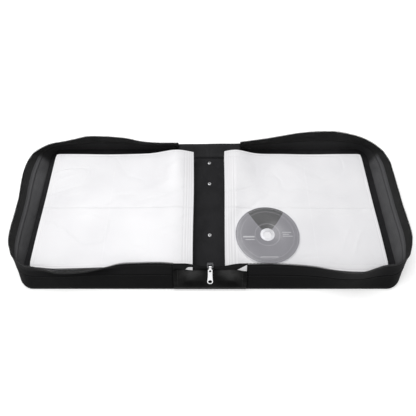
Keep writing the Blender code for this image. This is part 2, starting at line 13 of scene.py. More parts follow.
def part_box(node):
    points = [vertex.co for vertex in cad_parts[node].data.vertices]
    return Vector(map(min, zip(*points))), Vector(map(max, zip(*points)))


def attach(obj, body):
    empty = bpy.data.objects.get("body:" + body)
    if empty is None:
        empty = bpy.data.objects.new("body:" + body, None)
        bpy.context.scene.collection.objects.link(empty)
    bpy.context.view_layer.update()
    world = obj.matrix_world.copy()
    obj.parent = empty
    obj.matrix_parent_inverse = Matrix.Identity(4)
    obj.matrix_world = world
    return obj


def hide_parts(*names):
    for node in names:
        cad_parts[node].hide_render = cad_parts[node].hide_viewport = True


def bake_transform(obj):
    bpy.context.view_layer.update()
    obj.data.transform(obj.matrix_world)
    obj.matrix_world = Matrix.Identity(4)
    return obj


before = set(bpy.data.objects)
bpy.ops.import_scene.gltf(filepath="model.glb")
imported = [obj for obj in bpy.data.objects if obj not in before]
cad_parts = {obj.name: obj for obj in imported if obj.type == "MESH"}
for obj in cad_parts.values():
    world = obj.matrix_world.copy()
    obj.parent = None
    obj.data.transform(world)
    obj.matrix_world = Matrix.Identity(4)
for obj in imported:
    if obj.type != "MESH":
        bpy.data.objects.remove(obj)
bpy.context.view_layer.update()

# Places read from the solids
PAGE_LOW, PAGE_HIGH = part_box("right_pages")
PAGE_IN, PAGE_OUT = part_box("right_page_margin")[0].x, PAGE_HIGH.x
PAGE_FRONT, PAGE_REAR = PAGE_LOW.y, PAGE_HIGH.y
PAGE_BASE, PAGE_TOP = PAGE_LOW.z, PAGE_HIGH.z
SPINE_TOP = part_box("spine_lining")[1].z
LINING_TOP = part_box("right_cover_lining")[1].z
DISC_LOW, DISC_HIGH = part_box("disc")
DISC_CENTRE = (DISC_LOW + DISC_HIGH) / 2
DISC_RADIUS = DISC_HIGH.x - DISC_CENTRE.x

# Sizes of the case, and how thick its cloth is
HINGE_X = 0.055
CASE_HALF_LENGTH = 0.342
CASE_HALF_DEPTH = 0.160
CORNER_RADIUS = 0.028
CLOTH = 0.0013
TAPE_CLOTH = 0.0009

# The wall's section, foot to top, and the run of its foot
WALL_FOOT = 0.0060
WALL_FABRIC = 0.0265
TAPE_WIDTH = 0.0197
WALL_RISE = WALL_FOOT + WALL_FABRIC + TAPE_WIDTH
BEND_STOPS = (WALL_FOOT, WALL_FOOT + WALL_FABRIC, WALL_FOOT + WALL_FABRIC + TAPE_WIDTH / 2)
BEND_SOFTNESS = (0.0022, 0.0018, 0.0022)
ROW_STEP = 0.0011
WALL_START_X = HINGE_X + 0.009
FOOT_INSET = 0.0007
COLUMN_STEP = 0.004
CORNER_STEPS = 14
TEETH_PITCH = 0.0024
STITCH_PITCH = 0.0034

# The lining's edge laps over the tape's foot, and painted shade darkens the side
# linings between these two y towards the rear corners, to this share of their light colour
LINING_LAP = 0.0088
REAR_SHADE = (0.112, 0.128)
REAR_SHADE_SHARE = 0.30

# How the scene's walls lean, in places farther than the solids' even lean:
# stretch and share along it, then the lean of the fabric, the lower tape and
# the upper tape as (outward X, Y)
LEFT_LEANS = (
    ("front", 0.000, (0.00, 0.57), (0.00, 0.70), (0.00, 0.70)),
    ("front", 0.130, (0.00, 0.64), (0.00, 0.87), (0.00, 0.85)),
    ("front", 0.340, (0.00, 0.61), (0.00, 0.86), (0.00, 0.62)),
    ("front", 0.480, (0.00, 0.62), (0.00, 0.92), (0.00, -0.40)),
    ("front", 0.640, (0.00, 0.52), (0.00, 0.88), (0.00, -0.84)),
    ("front", 0.800, (0.00, 0.42), (0.00, 0.78), (0.00, -0.70)),
    ("front", 0.970, (0.00, 0.50), (0.00, 0.60), (0.00, 0.20)),
    ("front_corner", 0.500, (-0.02, 0.52), (0.00, 0.60), (0.00, 0.44)),
    ("side", 0.020, (0.14, 0.32), (0.16, 0.38), (0.12, 0.26)),
    ("side", 0.150, (0.34, 0.10), (0.36, 0.12), (0.32, 0.08)),
    ("side", 0.500, (0.40, 0.00), (0.42, 0.00), (0.38, 0.00)),
    ("side", 0.720, (0.57, 0.02), (0.62, 0.02), (0.51, 0.02)),
    ("side", 0.860, (0.54, -0.14), (0.60, -0.15), (0.48, -0.12)),
    ("side", 0.950, (0.45, -0.31), (0.50, -0.35), (0.40, -0.28)),
    ("rear_corner", 0.170, (0.34, -0.45), (0.38, -0.50), (0.30, -0.41)),
    ("rear_corner", 0.500, (0.20, -0.48), (0.22, -0.53), (0.18, -0.43)),
    ("rear_corner", 0.830, (0.10, -0.45), (0.11, -0.50), (0.09, -0.41)),
    ("rear", 0.050, (0.06, -0.39), (0.07, -0.43), (0.05, -0.35)),
    ("rear", 0.120, (0.03, -0.30), (0.03, -0.34), (0.02, -0.27)),
    ("rear", 0.240, (0.00, -0.14), (0.00, -0.16), (0.00, -0.13)),
    ("rear", 0.380, (0.00, -0.14), (0.00, -0.16), (0.00, -0.13)),
    ("rear", 0.540, (0.00, -0.22), (0.00, -0.26), (0.00, -0.18)),
    ("rear", 0.700, (0.00, -0.38), (0.00, -0.43), (0.00, -0.35)),
    ("rear", 0.850, (0.00, -0.42), (0.00, -0.47), (0.00, -0.40)),
    ("rear", 1.000, (0.00, -0.42), (0.00, -0.47), (0.00, -0.42)),
)
RIGHT_LEANS = (
    ("front", 0.000, (0.00, 0.57), (0.00, 0.70), (0.00, 0.70)),
    ("front", 0.140, (0.00, 0.58), (0.00, 0.74), (0.00, 0.70)),
    ("front", 0.380, (0.00, 0.50), (0.00, 0.57), (0.00, 0.50)),
    ("front", 0.780, (0.00, 0.20), (0.00, 0.21), (0.00, 0.17)),
    ("front", 0.980, (0.00, 0.52), (0.00, 0.58), (0.00, 0.48)),
    ("front_corner", 0.500, (0.00, 0.50), (0.00, 0.56), (0.00, 0.46)),
    ("side", 0.020, (0.15, 0.30), (0.17, 0.34), (0.14, 0.24)),
    ("side", 0.160, (0.37, 0.10), (0.39, 0.12), (0.34, 0.08)),
    ("side", 0.500, (0.41, 0.00), (0.43, 0.00), (0.38, 0.00)),
    ("side", 0.760, (0.42, 0.00), (0.45, 0.00), (0.38, 0.00)),
    ("side", 0.880, (0.39, -0.17), (0.43, -0.19), (0.35, -0.15)),
    ("side", 0.960, (0.30, -0.28), (0.33, -0.31), (0.27, -0.25)),
    ("rear_corner", 0.200, (0.21, -0.38), (0.23, -0.42), (0.19, -0.34)),
    ("rear_corner", 0.500, (0.10, -0.33), (0.11, -0.37), (0.09, -0.30)),
    ("rear_corner", 0.830, (0.00, -0.23), (0.00, -0.26), (0.00, -0.21)),
    ("rear", 0.060, (0.02, -0.06), (0.02, -0.07), (0.02, -0.06)),
    ("rear", 0.190, (0.00, 0.14), (0.00, 0.15), (0.00, 0.12)),
    ("rear", 0.330, (0.00, 0.14), (0.00, 0.15), (0.00, 0.12)),
    ("rear", 0.520, (0.00, 0.03), (0.00, 0.03), (0.00, 0.03)),
    ("rear", 0.760, (0.00, -0.22), (0.00, -0.25), (0.00, -0.20)),
    ("rear", 1.000, (0.00, -0.39), (0.00, -0.45), (0.00, -0.39)),
)
STRETCHES = ("front", "front_corner", "side", "rear_corner", "rear")
SIDES = (("left", -1, LEFT_LEANS), ("right", 1, RIGHT_LEANS))

# Where each pocket meets its neighbours, and the welded lines of a sleeve:
# along its bound edge and outer edge, and across it
SPLIT_X = 0.1925
SPLIT_Y = -0.0055
UPRIGHT_WELDS = tuple(PAGE_IN + step for step in (0.0035, 0.0080, 0.0125, 0.0180)) + (PAGE_OUT - 0.0030,)
LEVEL_WELDS = (PAGE_FRONT + 0.0030, PAGE_REAR - 0.0035)

# How strongly dull cloth mirrors, against a plain plastic's 0.5
CLOTH_SHINE = 0.12


# Node helpers

def new_material(name, colour, roughness, metallic=0.0):
    material = bpy.data.materials.new(name)
    material.use_nodes = True
    shader = material.node_tree.nodes["Principled BSDF"]
    shader.inputs["Base Color"].default_value = (*colour, 1.0)
    shader.inputs["Roughness"].default_value = roughness
    shader.inputs["Metallic"].default_value = metallic
    return material, material.node_tree, shader


def node(tree, kind, **values):
    made = tree.nodes.new(kind)
    for key, value in values.items():
        setattr(made, key, value)
    return made


def coordinates(tree, output="UV"):
    return node(tree, "ShaderNodeTexCoord").outputs[output]


def scaled(tree, vector, scale):
    mapping = node(tree, "ShaderNodeMapping")
    mapping.inputs["Scale"].default_value = scale
    tree.links.new(vector, mapping.inputs["Vector"])
    return mapping.outputs["Vector"]


def noise(tree, vector, scale, detail=3.0, roughness=0.5):
    made = node(tree, "ShaderNodeTexNoise")
    made.inputs["Scale"].default_value = scale
    made.inputs["Detail"].default_value = detail
    made.inputs["Roughness"].default_value = roughness
    tree.links.new(vector, made.inputs["Vector"])
    return made.outputs["Fac"]


def bands(tree, vector, direction, pitch):
    """Thread ridges across one direction, one for each pitch in metres."""
    wave = node(tree, "ShaderNodeTexWave", wave_type="BANDS", bands_direction=direction)
    wave.inputs["Scale"].default_value = 0.314 / pitch
    tree.links.new(vector, wave.inputs["Vector"])
    return wave.outputs["Fac"]


def math(tree, operation, a, b=0.5):
    made = node(tree, "ShaderNodeMath", operation=operation)
    for socket, value in zip(made.inputs, (a, b)):
        if isinstance(value, (int, float)):
            socket.default_value = value
        else:
            tree.links.new(value, socket)
    return made.outputs[0]


def tint(tree, factor, low, high, start=0.0, end=1.0):
    """A colour from low to high, as the factor runs from start to end."""
    ramp = node(tree, "ShaderNodeValToRGB")
    ramp.color_ramp.elements[0].color = (*low, 1.0)
    ramp.color_ramp.elements[0].position = start
    ramp.color_ramp.elements[1].color = (*high, 1.0)
    ramp.color_ramp.elements[1].position = end
    tree.links.new(factor, ramp.inputs["Fac"])
    return ramp.outputs["Color"]


def bump(tree, shader, height, distance, strength=1.0, under=None):
    """Fine relief on the shader, over an earlier relief where one is stated."""
    made = node(tree, "ShaderNodeBump")
    made.inputs["Distance"].default_value = distance
    made.inputs["Strength"].default_value = strength
    tree.links.new(height, made.inputs["Height"])
    if under is not None:
        tree.links.new(under, made.inputs["Normal"])
    tree.links.new(made.outputs["Normal"], shader.inputs["Normal"])
    return made.outputs["Normal"]


def mixed(tree, factor, first, second):
    """A colour between two, first at 0 and second at 1; either may be a stated colour."""
    made = node(tree, "ShaderNodeMix", data_type="RGBA")
    tree.links.new(factor, made.inputs[0])
    for socket, value in zip(made.inputs[6:8], (first, second)):
        if isinstance(value, tuple):
            socket.default_value = (*value, 1.0)
        else:
            tree.links.new(value, socket)
    return made.outputs[2]


def split(tree, vector):
    """The X, Y and Z of a vector, by name."""
    made = node(tree, "ShaderNodeSeparateXYZ")
    tree.links.new(vector, made.inputs[0])
    return made.outputs


def eased(tree, value, low, high):
    """0 before one value, 1 past another and a smooth step between them."""
    span = node(tree, "ShaderNodeMapRange", interpolation_type="SMOOTHSTEP")
    span.inputs["From Min"].default_value = low
    span.inputs["From Max"].default_value = high
    tree.links.new(value, span.inputs["Value"])
    return span.outputs[0]


def ramp_along(tree, axis, low, high):
    """0 below one place along the piece's own axis, 1 past another."""
    return eased(tree, split(tree, coordinates(tree, "Object"))[axis], low, high)


def line_mask(tree, value, places, half_width):
    """1 on thin lines at stated places of a coordinate, else 0."""
    mask = None
    for spot in places:
        line = node(tree, "ShaderNodeMath", operation="COMPARE")
        tree.links.new(value, line.inputs[0])
        line.inputs[1].default_value = spot
        line.inputs[2].default_value = half_width
        mask = line.outputs[0] if mask is None else math(tree, "MAXIMUM", mask, line.outputs[0])
    return mask


def woven(name, dark, light, pitch, roughness=0.82, sheen=0.12, relief=0.00012, source="UV",
          painted_shade_span=None):
    """Plain woven cloth: threads both ways, on a UV map in metres or across a flat solid.

    Where painted_shade_span names two y, painted shade darkens the cloth from the first y to the second, and
    it stays dark past it.
    """
    material, tree, shader = new_material(name, light, roughness)
    uv = coordinates(tree, source)
    across = bands(tree, uv, "X", pitch)
    along = bands(tree, uv, "Y", pitch)
    threads = math(tree, "MAXIMUM", across, along)
    wear = noise(tree, uv, 38.0, 4.0)
    shade = math(tree, "MULTIPLY", threads, math(tree, "ADD", wear, 0.45))
    colour = tint(tree, shade, dark, light, 0.15, 0.95)
    # Painted shade: darker towards the rear corners, along the piece's y
    if painted_shade_span is not None:
        low = tuple(c * REAR_SHADE_SHARE for c in light)
        colour = mixed(tree, ramp_along(tree, "Y", *painted_shade_span), colour, low)
    tree.links.new(colour, shader.inputs["Base Color"])
    shader.inputs["Specular IOR Level"].default_value = CLOTH_SHINE
    shader.inputs["Sheen Weight"].default_value = sheen
    shader.inputs["Sheen Roughness"].default_value = 0.45
    broad_layer = bump(tree, shader, noise(tree, uv, 55.0, 2.0), 0.0012, 0.55)
    bump(tree, shader, threads, relief, 0.8, broad_layer)
    return material


def tape_cloth(name, dark, light, facing=None):
    """Zip tape: fine ribs and twill, with the lining's edge lapped over its foot where stated; towards the
    rear corners that lap fades into the tape's darker colour, as painted shade.
    """
    material, tree, shader = new_material(name, light, 0.72)
    uv = coordinates(tree)
    ribs = bands(tree, uv, "Y", 0.0012)
    twill = bands(tree, uv, "DIAGONAL", 0.0008)
    height = math(tree, "ADD", math(tree, "MULTIPLY", ribs, 0.7), math(tree, "MULTIPLY", twill, 0.3))
    shade = math(tree, "MULTIPLY", height, math(tree, "ADD", noise(tree, uv, 30.0), 0.5))
    colour = tint(tree, shade, dark, light, 0.1, 0.9)
    if facing is not None:
        lapped = math(tree, "LESS_THAN", split(tree, uv)["Y"], LINING_LAP)
        # Painted shade: the lap's light colour fades out towards the rear corners
        ahead = math(tree, "SUBTRACT", 1.0, ramp_along(tree, "Y", *REAR_SHADE))
        colour = mixed(tree, math(tree, "MULTIPLY", lapped, ahead), colour, facing)
    tree.links.new(colour, shader.inputs["Base Color"])
    shader.inputs["Sheen Weight"].default_value = 0.03
    shader.inputs["Specular IOR Level"].default_value = CLOTH_SHINE
    bump(tree, shader, height, 0.00015, 0.8)
    return material


def coated_cloth():
    """Coated cloth with shallow creases, and painted highlights: its mirroring is raised in soft patches
    beside the slider, on the panel's upper part.
    """
    material, tree, shader = new_material("coated_black_cloth", (0.006, 0.006, 0.0065), 0.38)
    uv = coordinates(tree)
    creases = noise(tree, uv, 42.0, 4.0, 0.55)
    grain = noise(tree, uv, 900.0, 2.0)
    tree.links.new(
        tint(tree, creases, (0.0014, 0.0014, 0.0016), (0.0046, 0.0045, 0.0043), 0.35, 0.7),
        shader.inputs["Base Color"],
    )
    # Painted highlights: they peak at this |x| either side of the slider, fall away at this rate and fade out
    # low on the panel
    highlight_x, fade = 0.034, 38.0
    beside = math(tree, "ABSOLUTE", split(tree, coordinates(tree, "Object"))["X"])
    away = math(tree, "ABSOLUTE", math(tree, "SUBTRACT", beside, highlight_x))
    broad_layer = math(tree, "SUBTRACT", 1.0, math(tree, "MULTIPLY", away, fade))
    lit = math(tree, "MULTIPLY", math(tree, "MAXIMUM", broad_layer, 0.0), ramp_along(tree, "Z", 0.010, 0.034))
    highlight_patches = math(tree, "MULTIPLY", lit, math(tree, "ADD", noise(tree, uv, 60.0, 3.0), 0.12))
    painted_highlight = tint(tree, highlight_patches, (0.08,) * 3, (0.46,) * 3, 0.05, 0.80)
    tree.links.new(painted_highlight, shader.inputs["Specular IOR Level"])
    tree.links.new(tint(tree, creases, (0.26,) * 3, (0.46,) * 3), shader.inputs["Roughness"])
    soft = bump(tree, shader, creases, 0.0024, 0.6)
    bump(tree, shader, grain, 0.00008, 0.4, soft)
    return material


def sleeve_white():
    """White sleeve, faintly clouded, greyer on its welds and towards its bound edge."""
    material, tree, shader = new_material("sleeve_white", (0.86, 0.86, 0.89), 0.42)
    place = coordinates(tree, "Object")
    cloud = noise(tree, scaled(tree, place, (1.0, 1.0, 6.0)), 14.0, 3.0)
    colour = tint(tree, cloud, (0.835, 0.830, 0.850), (0.905, 0.900, 0.915), 0.3, 0.7)
    sheet = split(tree, coordinates(tree))
    upright = line_mask(tree, sheet["X"], [line - PAGE_IN for line in UPRIGHT_WELDS], 0.00045)
    level = line_mask(tree, sheet["Y"], [line - PAGE_FRONT for line in LEVEL_WELDS], 0.0006)
    middle = line_mask(tree, sheet["Y"], [SPLIT_Y - PAGE_FRONT], 0.0008)
    seams = math(tree, "MAXIMUM", math(tree, "MAXIMUM", upright, level), middle)
    colour = mixed(tree, math(tree, "MULTIPLY", seams, 0.34), colour, (0.62, 0.615, 0.63))
    near_spine = eased(tree, sheet["X"], 0.046, 0.010)
    colour = mixed(tree, math(tree, "MULTIPLY", near_spine, 0.45), colour, (0.70, 0.695, 0.71))
    tree.links.new(colour, shader.inputs["Base Color"])
    shader.inputs["Coat Weight"].default_value = 0.22
    shader.inputs["Coat Roughness"].default_value = 0.22
    fibres = noise(tree, scaled(tree, place, (1.0, 2.2, 1.0)), 420.0, 3.0)
    waves = bump(tree, shader, noise(tree, place, 26.0, 2.0), 0.0016, 0.35)
    creased = bump(tree, shader, crease_height(tree, place), 0.0011, 0.45, waves)
    bump(tree, shader, fibres, 0.00006, 0.5, creased)
    return material


def crease_height(tree, place):
    """Flat ground with thin wandering furrows, for paper and film that was handled."""
    field = noise(tree, scaled(tree, place, (1.0, 1.7, 1.0)), 9.0, 1.5, 0.4)
    away = math(tree, "ABSOLUTE", math(tree, "SUBTRACT", field, 0.5))
    return math(tree, "MULTIPLY", math(tree, "MINIMUM", away, 0.045), 22.0)


def clear_film():
    """Thin clear film of the pocket fronts, seen by its gloss and its creases."""
    material, tree, shader = new_material("clear_film", (0.95, 0.95, 0.97), 0.16)
    shader.inputs["Alpha"].default_value = 0.04
    shader.inputs["IOR"].default_value = 1.45
    place = coordinates(tree, "Object")
    waves = bump(tree, shader, noise(tree, place, 30.0, 2.0), 0.0010, 0.35)
    bump(tree, shader, crease_height(tree, place), 0.0014, 0.5, waves)
    return material


def disc_print():
    """Generic print on the disc: grey field, darker sector, thin rings and bars."""
    material, tree, shader = new_material("disc_print", (0.26, 0.26, 0.28), 0.34)
    mapping = node(tree, "ShaderNodeMapping", vector_type="POINT")
    mapping.inputs["Location"].default_value = (-DISC_CENTRE.x, -DISC_CENTRE.y, 0.0)
    tree.links.new(coordinates(tree, "Object"), mapping.inputs["Vector"])
    spot = mapping.outputs["Vector"]
    parts = split(tree, spot)
    x, y = parts["X"], parts["Y"]
    squares = math(tree, "ADD", math(tree, "MULTIPLY", x, x), math(tree, "MULTIPLY", y, y))
    radius = math(tree, "SQRT", squares)
    angle = math(tree, "ABSOLUTE", math(tree, "ARCTAN2", x, y))

    def within(value, low, high):
        above = math(tree, "GREATER_THAN", value, low)
        return math(tree, "MULTIPLY", above, math(tree, "LESS_THAN", value, high))

    field = tint(tree, noise(tree, spot, 60.0), (0.185, 0.181, 0.203), (0.222, 0.217, 0.243))
    half_angle = math(tree, "SUBTRACT", 0.74, math(tree, "MULTIPLY", radius, 2.2))
    sector = math(tree, "LESS_THAN", angle, half_angle)
    colour = mixed(tree, sector, field, (0.016, 0.0155, 0.018))
    for low, high in ((0.0225, 0.0231), (0.0488, 0.0492), (0.0558, 0.0562)):
        colour = mixed(tree, within(radius, low, high), colour, (0.42, 0.42, 0.44))
    for x_low, x_high, y_low, y_high in (
        (-0.045, -0.024, -0.006, -0.003),
        (-0.041, -0.024, -0.011, -0.0095),
        (0.028, 0.044, 0.004, 0.0052),
        (0.028, 0.040, 0.000, 0.0012),
        (0.028, 0.046, -0.004, -0.0028),
        (-0.016, 0.016, -0.046, -0.0446),
    ):
        bar = math(tree, "MULTIPLY", within(x, x_low, x_high), within(y, y_low, y_high))
        colour = mixed(tree, bar, colour, (0.52, 0.52, 0.54))
    tree.links.new(colour, shader.inputs["Base Color"])
    shader.inputs["Coat Weight"].default_value = 0.35
    shader.inputs["Coat Roughness"].default_value = 0.12
    return material


def steel(name, roughness, colour=(0.78, 0.78, 0.79)):
    """Worn bright steel, faintly brushed."""
    material, tree, shader = new_material(name, colour, roughness, 1.0)
    place = coordinates(tree, "Object")
    brushed = noise(tree, scaled(tree, place, (1.0, 1.0, 0.12)), 900.0, 3.0)
    tree.links.new(
        tint(tree, brushed, (roughness - 0.06,) * 3, (roughness + 0.10,) * 3),
        shader.inputs["Roughness"],
    )
    bump(tree, shader, noise(tree, place, 300.0, 2.0), 0.00005, 0.4)
    return material


def plain(name, colour, roughness, grain=500.0, depth=0.00008):
    """A plain finish with a fine grain."""
    material, tree, shader = new_material(name, colour, roughness)
    place = coordinates(tree, "Object")
    fine = noise(tree, place, grain, 3.0)
    low = tuple(c * 0.8 for c in colour)
    high = tuple(min(1.0, c * 1.2) for c in colour)
    tree.links.new(tint(tree, fine, low, high, 0.3, 0.7), shader.inputs["Base Color"])
    bump(tree, shader, fine, depth, 0.6)
    return material


NYLON = woven("nylon_black", (0.0018, 0.0018, 0.0020), (0.0066, 0.0066, 0.0070), 0.0011, sheen=0.015)
# Grey lining of the walls' insides, darkened towards the rear corners as painted shade
SIDE_LINING = woven(
    "lining_grey", (0.050, 0.050, 0.052), (0.142, 0.142, 0.147), 0.0011, sheen=0.04,
    painted_shade_span=REAR_SHADE,
)
SPINE_CLOTH = woven("lining_dark", (0.008, 0.008, 0.009), (0.042, 0.042, 0.044), 0.0013, sheen=0.02)
TAPE = tape_cloth("zip_tape_cloth", (0.0026, 0.0026, 0.0029), (0.0088, 0.0088, 0.0095))
# Inside of the zip tape, with the lining's lapped edge, which fades out towards the rear as painted shade
TAPE_INSIDE = tape_cloth(
    "zip_tape_inside", (0.0130, 0.0130, 0.0132), (0.0370, 0.0370, 0.0374), (0.092, 0.092, 0.096)
)
FLAT_NYLON = woven(
    "nylon_black_flat", (0.0018, 0.0018, 0.0020), (0.0066, 0.0066, 0.0070), 0.0011, sheen=0.015,
    source="Object",
)
# Dark lining laid flat: the spine lining's own tone, and painted shade on the cover linings, whose grey cloth
# lies in shade beside the pages
FLAT_LINING = woven(
    "lining_dark_flat", (0.005, 0.005, 0.0056), (0.029, 0.029, 0.031), 0.0013, sheen=0.02,
    source="Object",
)
COATED = coated_cloth()
SLEEVE = sleeve_white()
FILM = clear_film()
STEEL = steel("polished_steel", 0.20)
RIVET_STEEL = steel("rivet_steel", 0.30, (0.50, 0.50, 0.51))
DARK_STEEL = steel("slider_steel", 0.30, (0.12, 0.12, 0.125))
# Painted shade: near black inside the rivets' bores, deepening the hole's own shade
BORE_SHADE = plain("rivet_bore_painted_shade", (0.010, 0.010, 0.011), 0.60)
TEETH = plain("zip_teeth_nylon", (0.012, 0.012, 0.013), 0.42)
THREAD = plain("black_thread", (0.014, 0.014, 0.015), 0.75, 1500.0)
WEBBING = plain("strap_webbing", (0.012, 0.012, 0.013), 0.80, 900.0, 0.0003)
BOARD = plain("greyboard", (0.30, 0.25, 0.18), 0.90)
CLEAR_HUB = plain("disc_hub_clear", (0.74, 0.74, 0.77), 0.15, 80.0, 0.00002)


# Mesh helpers

def clamped(value):
    return min(1.0, max(0.0, value))


def ease(share):
    return share * share * (3 - 2 * share)


def between(value, low, high):
    """0 below low, 1 above high and an eased share in between."""
    return ease(clamped((value - low) / (high - low)))


def running_lengths(points):
    """How far along the line through some points each of them lies."""
    marks = [0.0]
    for a, b in zip(points, points[1:]):
        marks.append(marks[-1] + (Vector(b) - Vector(a)).length)
    return marks


def mesh_from(bm, name):
    mesh = bpy.data.meshes.new(name)
    bm.to_mesh(mesh)
    bm.free()
    return mesh


def smooth(mesh):
    mesh.shade_smooth()
    mesh.set_sharp_from_angle(angle=radians(40))


def place(name, mesh, *materials):
    """Puts a mesh in the scene under a name, with its finishes."""
    piece = bpy.data.objects.new(name, mesh)
    bpy.context.scene.collection.objects.link(piece)
    for material in materials:
        mesh.materials.append(material)
    return piece


def grid_piece(name, rows, *materials, flip=False):
    """A cloth surface through rows of points, with a UV map in metres."""
    bm = bmesh.new()
    uv = bm.loops.layers.uv.new("cloth")
    grid = [[bm.verts.new(p) for p in row] for row in rows]
    along = running_lengths(rows[len(rows) // 2])
    heights = running_lengths([row[len(row) // 2] for row in rows])
    for r in range(len(rows) - 1):
        for i in range(len(along) - 1):
            corners = ((r, i), (r, i + 1), (r + 1, i + 1), (r + 1, i))
            if flip:
                corners = corners[::-1]
            face = bm.faces.new([grid[a][b] for a, b in corners])
            for loop, (a, b) in zip(face.loops, corners):
                loop[uv].uv = (along[b], heights[a])
    mesh = mesh_from(bm, name)
    smooth(mesh)
    return place(name, mesh, *materials)


def thicken(piece, thickness, offset=0.0, inner=0):
    """Gives a surface its thickness; inner picks the finish of its other face."""
    solidify = piece.modifiers.new("cloth", "SOLIDIFY")
    solidify.thickness = thickness
    solidify.offset = offset
    solidify.material_offset = inner


def evaluated_mesh(piece):
    """The piece's shape with its modifiers, as a mesh of its own."""
    bpy.context.view_layer.update()
    ready = piece.evaluated_get(bpy.context.evaluated_depsgraph_get())
    return bpy.data.meshes.new_from_object(ready)


def apply_modifiers(piece):
    """Keeps the shape that the modifiers give, and removes them."""
    mesh = evaluated_mesh(piece)
    piece.modifiers.clear()
    piece.data = mesh
    smooth(mesh)


def repeater(name, pieces, shape, material):
    """Copies one small shape to each stated place, turned to its line and its up."""
    mesh = bpy.data.meshes.new(name)
    mesh.from_pydata([tuple(p) for p, _, _ in pieces], [], [])
    for key, slot in (("along", 1), ("up", 2)):
        values = mesh.attributes.new(key, "FLOAT_VECTOR", "POINT")
        values.data.foreach_set("vector", [c for item in pieces for c in item[slot]])
    points = place(name, mesh)
    tree = bpy.data.node_groups.new(name + "_tree", "GeometryNodeTree")
    tree.interface.new_socket("Places", in_out="INPUT", socket_type="NodeSocketGeometry")
    size_socket = tree.interface.new_socket("Size", in_out="INPUT", socket_type="NodeSocketFloat")
    tree.interface.new_socket("Pieces", in_out="OUTPUT", socket_type="NodeSocketGeometry")
    entry = node(tree, "NodeGroupInput")
    leave = node(tree, "NodeGroupOutput")
    info = node(tree, "GeometryNodeObjectInfo")
    info.inputs["Object"].default_value = shape
    along, up = (node(tree, "GeometryNodeInputNamedAttribute", data_type="FLOAT_VECTOR") for _ in range(2))
    along.inputs["Name"].default_value = "along"
    up.inputs["Name"].default_value = "up"
    turn = node(tree, "FunctionNodeAxesToRotation", primary_axis="Z", secondary_axis="X")
    copies = node(tree, "GeometryNodeInstanceOnPoints")
    real = node(tree, "GeometryNodeRealizeInstances")
    finish = node(tree, "GeometryNodeSetMaterial")
    finish.inputs["Material"].default_value = material
    for start, end in (
        (entry.outputs["Places"], copies.inputs["Points"]),
        (info.outputs["Geometry"], copies.inputs["Instance"]),
        (up.outputs["Attribute"], turn.inputs["Primary Axis"]),
        (along.outputs["Attribute"], turn.inputs["Secondary Axis"]),
        (turn.outputs["Rotation"], copies.inputs["Rotation"]),
        (entry.outputs["Size"], copies.inputs["Scale"]),
        (copies.outputs["Instances"], real.inputs["Geometry"]),
        (real.outputs["Geometry"], finish.inputs["Geometry"]),
        (finish.outputs["Geometry"], leave.inputs["Pieces"]),
    ):
        tree.links.new(start, end)
    modifier = points.modifiers.new("repeat", "NODES")
    modifier.node_group = tree
    modifier[size_socket.identifier] = 1.0
    made = evaluated_mesh(points)
    bpy.data.objects.remove(points, do_unlink=True)
    bpy.data.objects.remove(shape, do_unlink=True)
    if not made.materials:
        made.materials.append(material)
    made.shade_smooth()
    return place(name, made)


def stitch_shape():
    """One stitch: a short thread, low at both ends."""
    bm = bmesh.new()
    bmesh.ops.create_uvsphere(bm, u_segments=6, v_segments=5, radius=1.0)
    turn = Matrix.Rotation(pi / 2, 4, "Y")
    size = Matrix.Diagonal((0.00118, 0.00030, 0.00026, 1.0))
    bmesh.ops.transform(bm, matrix=size @ turn, verts=bm.verts[:])
    return place("stitch_shape", mesh_from(bm, "stitch_shape"))


def tooth_shape():
    """One coil tooth: a bar across the tape's edge, with its edges taken off."""
    bm = bmesh.new()
    size = Matrix.Diagonal((0.0014, 0.0024, 0.0030, 1.0))
    bmesh.ops.create_cube(bm, size=1.0, matrix=size)
    bmesh.ops.bevel(bm, geom=bm.edges[:], offset=0.0004, segments=1, affect="EDGES")
    return place("tooth_shape", mesh_from(bm, "tooth_shape"))


def walk(points, ups, pitch):
    """Even places along a line of points, with the line's way and its up there."""
    places = []
    carried = pitch / 2
    for i in range(len(points) - 1):
        a, b = Vector(points[i]), Vector(points[i + 1])
        run = (b - a).length
        if run == 0:
            continue
        step = pitch - carried
        while step <= run:
            share = step / run
            up = Vector(ups[i]).lerp(Vector(ups[i + 1]), share).normalized()
            places.append((a.lerp(b, share), (b - a).normalized(), up))
            step += pitch
        carried = run - (step - pitch)
    return places


# The soft walls and the zip

def distance_to(mark):
    """How far along the wall's foot a place lies, in metres."""
    bend = pi / 2 * CORNER_RADIUS
    ends = CASE_HALF_LENGTH - CORNER_RADIUS - WALL_START_X
    lengths = {"front": ends, "front_corner": bend, "side": 2 * (CASE_HALF_DEPTH - CORNER_RADIUS),
               "rear_corner": bend, "rear": ends}
    before = sum(lengths[name] for name in STRETCHES[:STRETCHES.index(mark[0])])
    return before + mark[1] * lengths[mark[0]]


def slope_at(values, marks, at):
    """How fast the values change at one stated place, from its neighbours."""
    if at in (0, len(marks) - 1):
        other = 1 if at == 0 else at - 1
        return (values[other] - values[at]) / (marks[other] - marks[at])
    before, after = marks[at] - marks[at - 1], marks[at + 1] - marks[at]
    fall = (values[at] - values[at - 1]) / before
    climb = (values[at + 1] - values[at]) / after
    return (fall * after + climb * before) / (before + after)


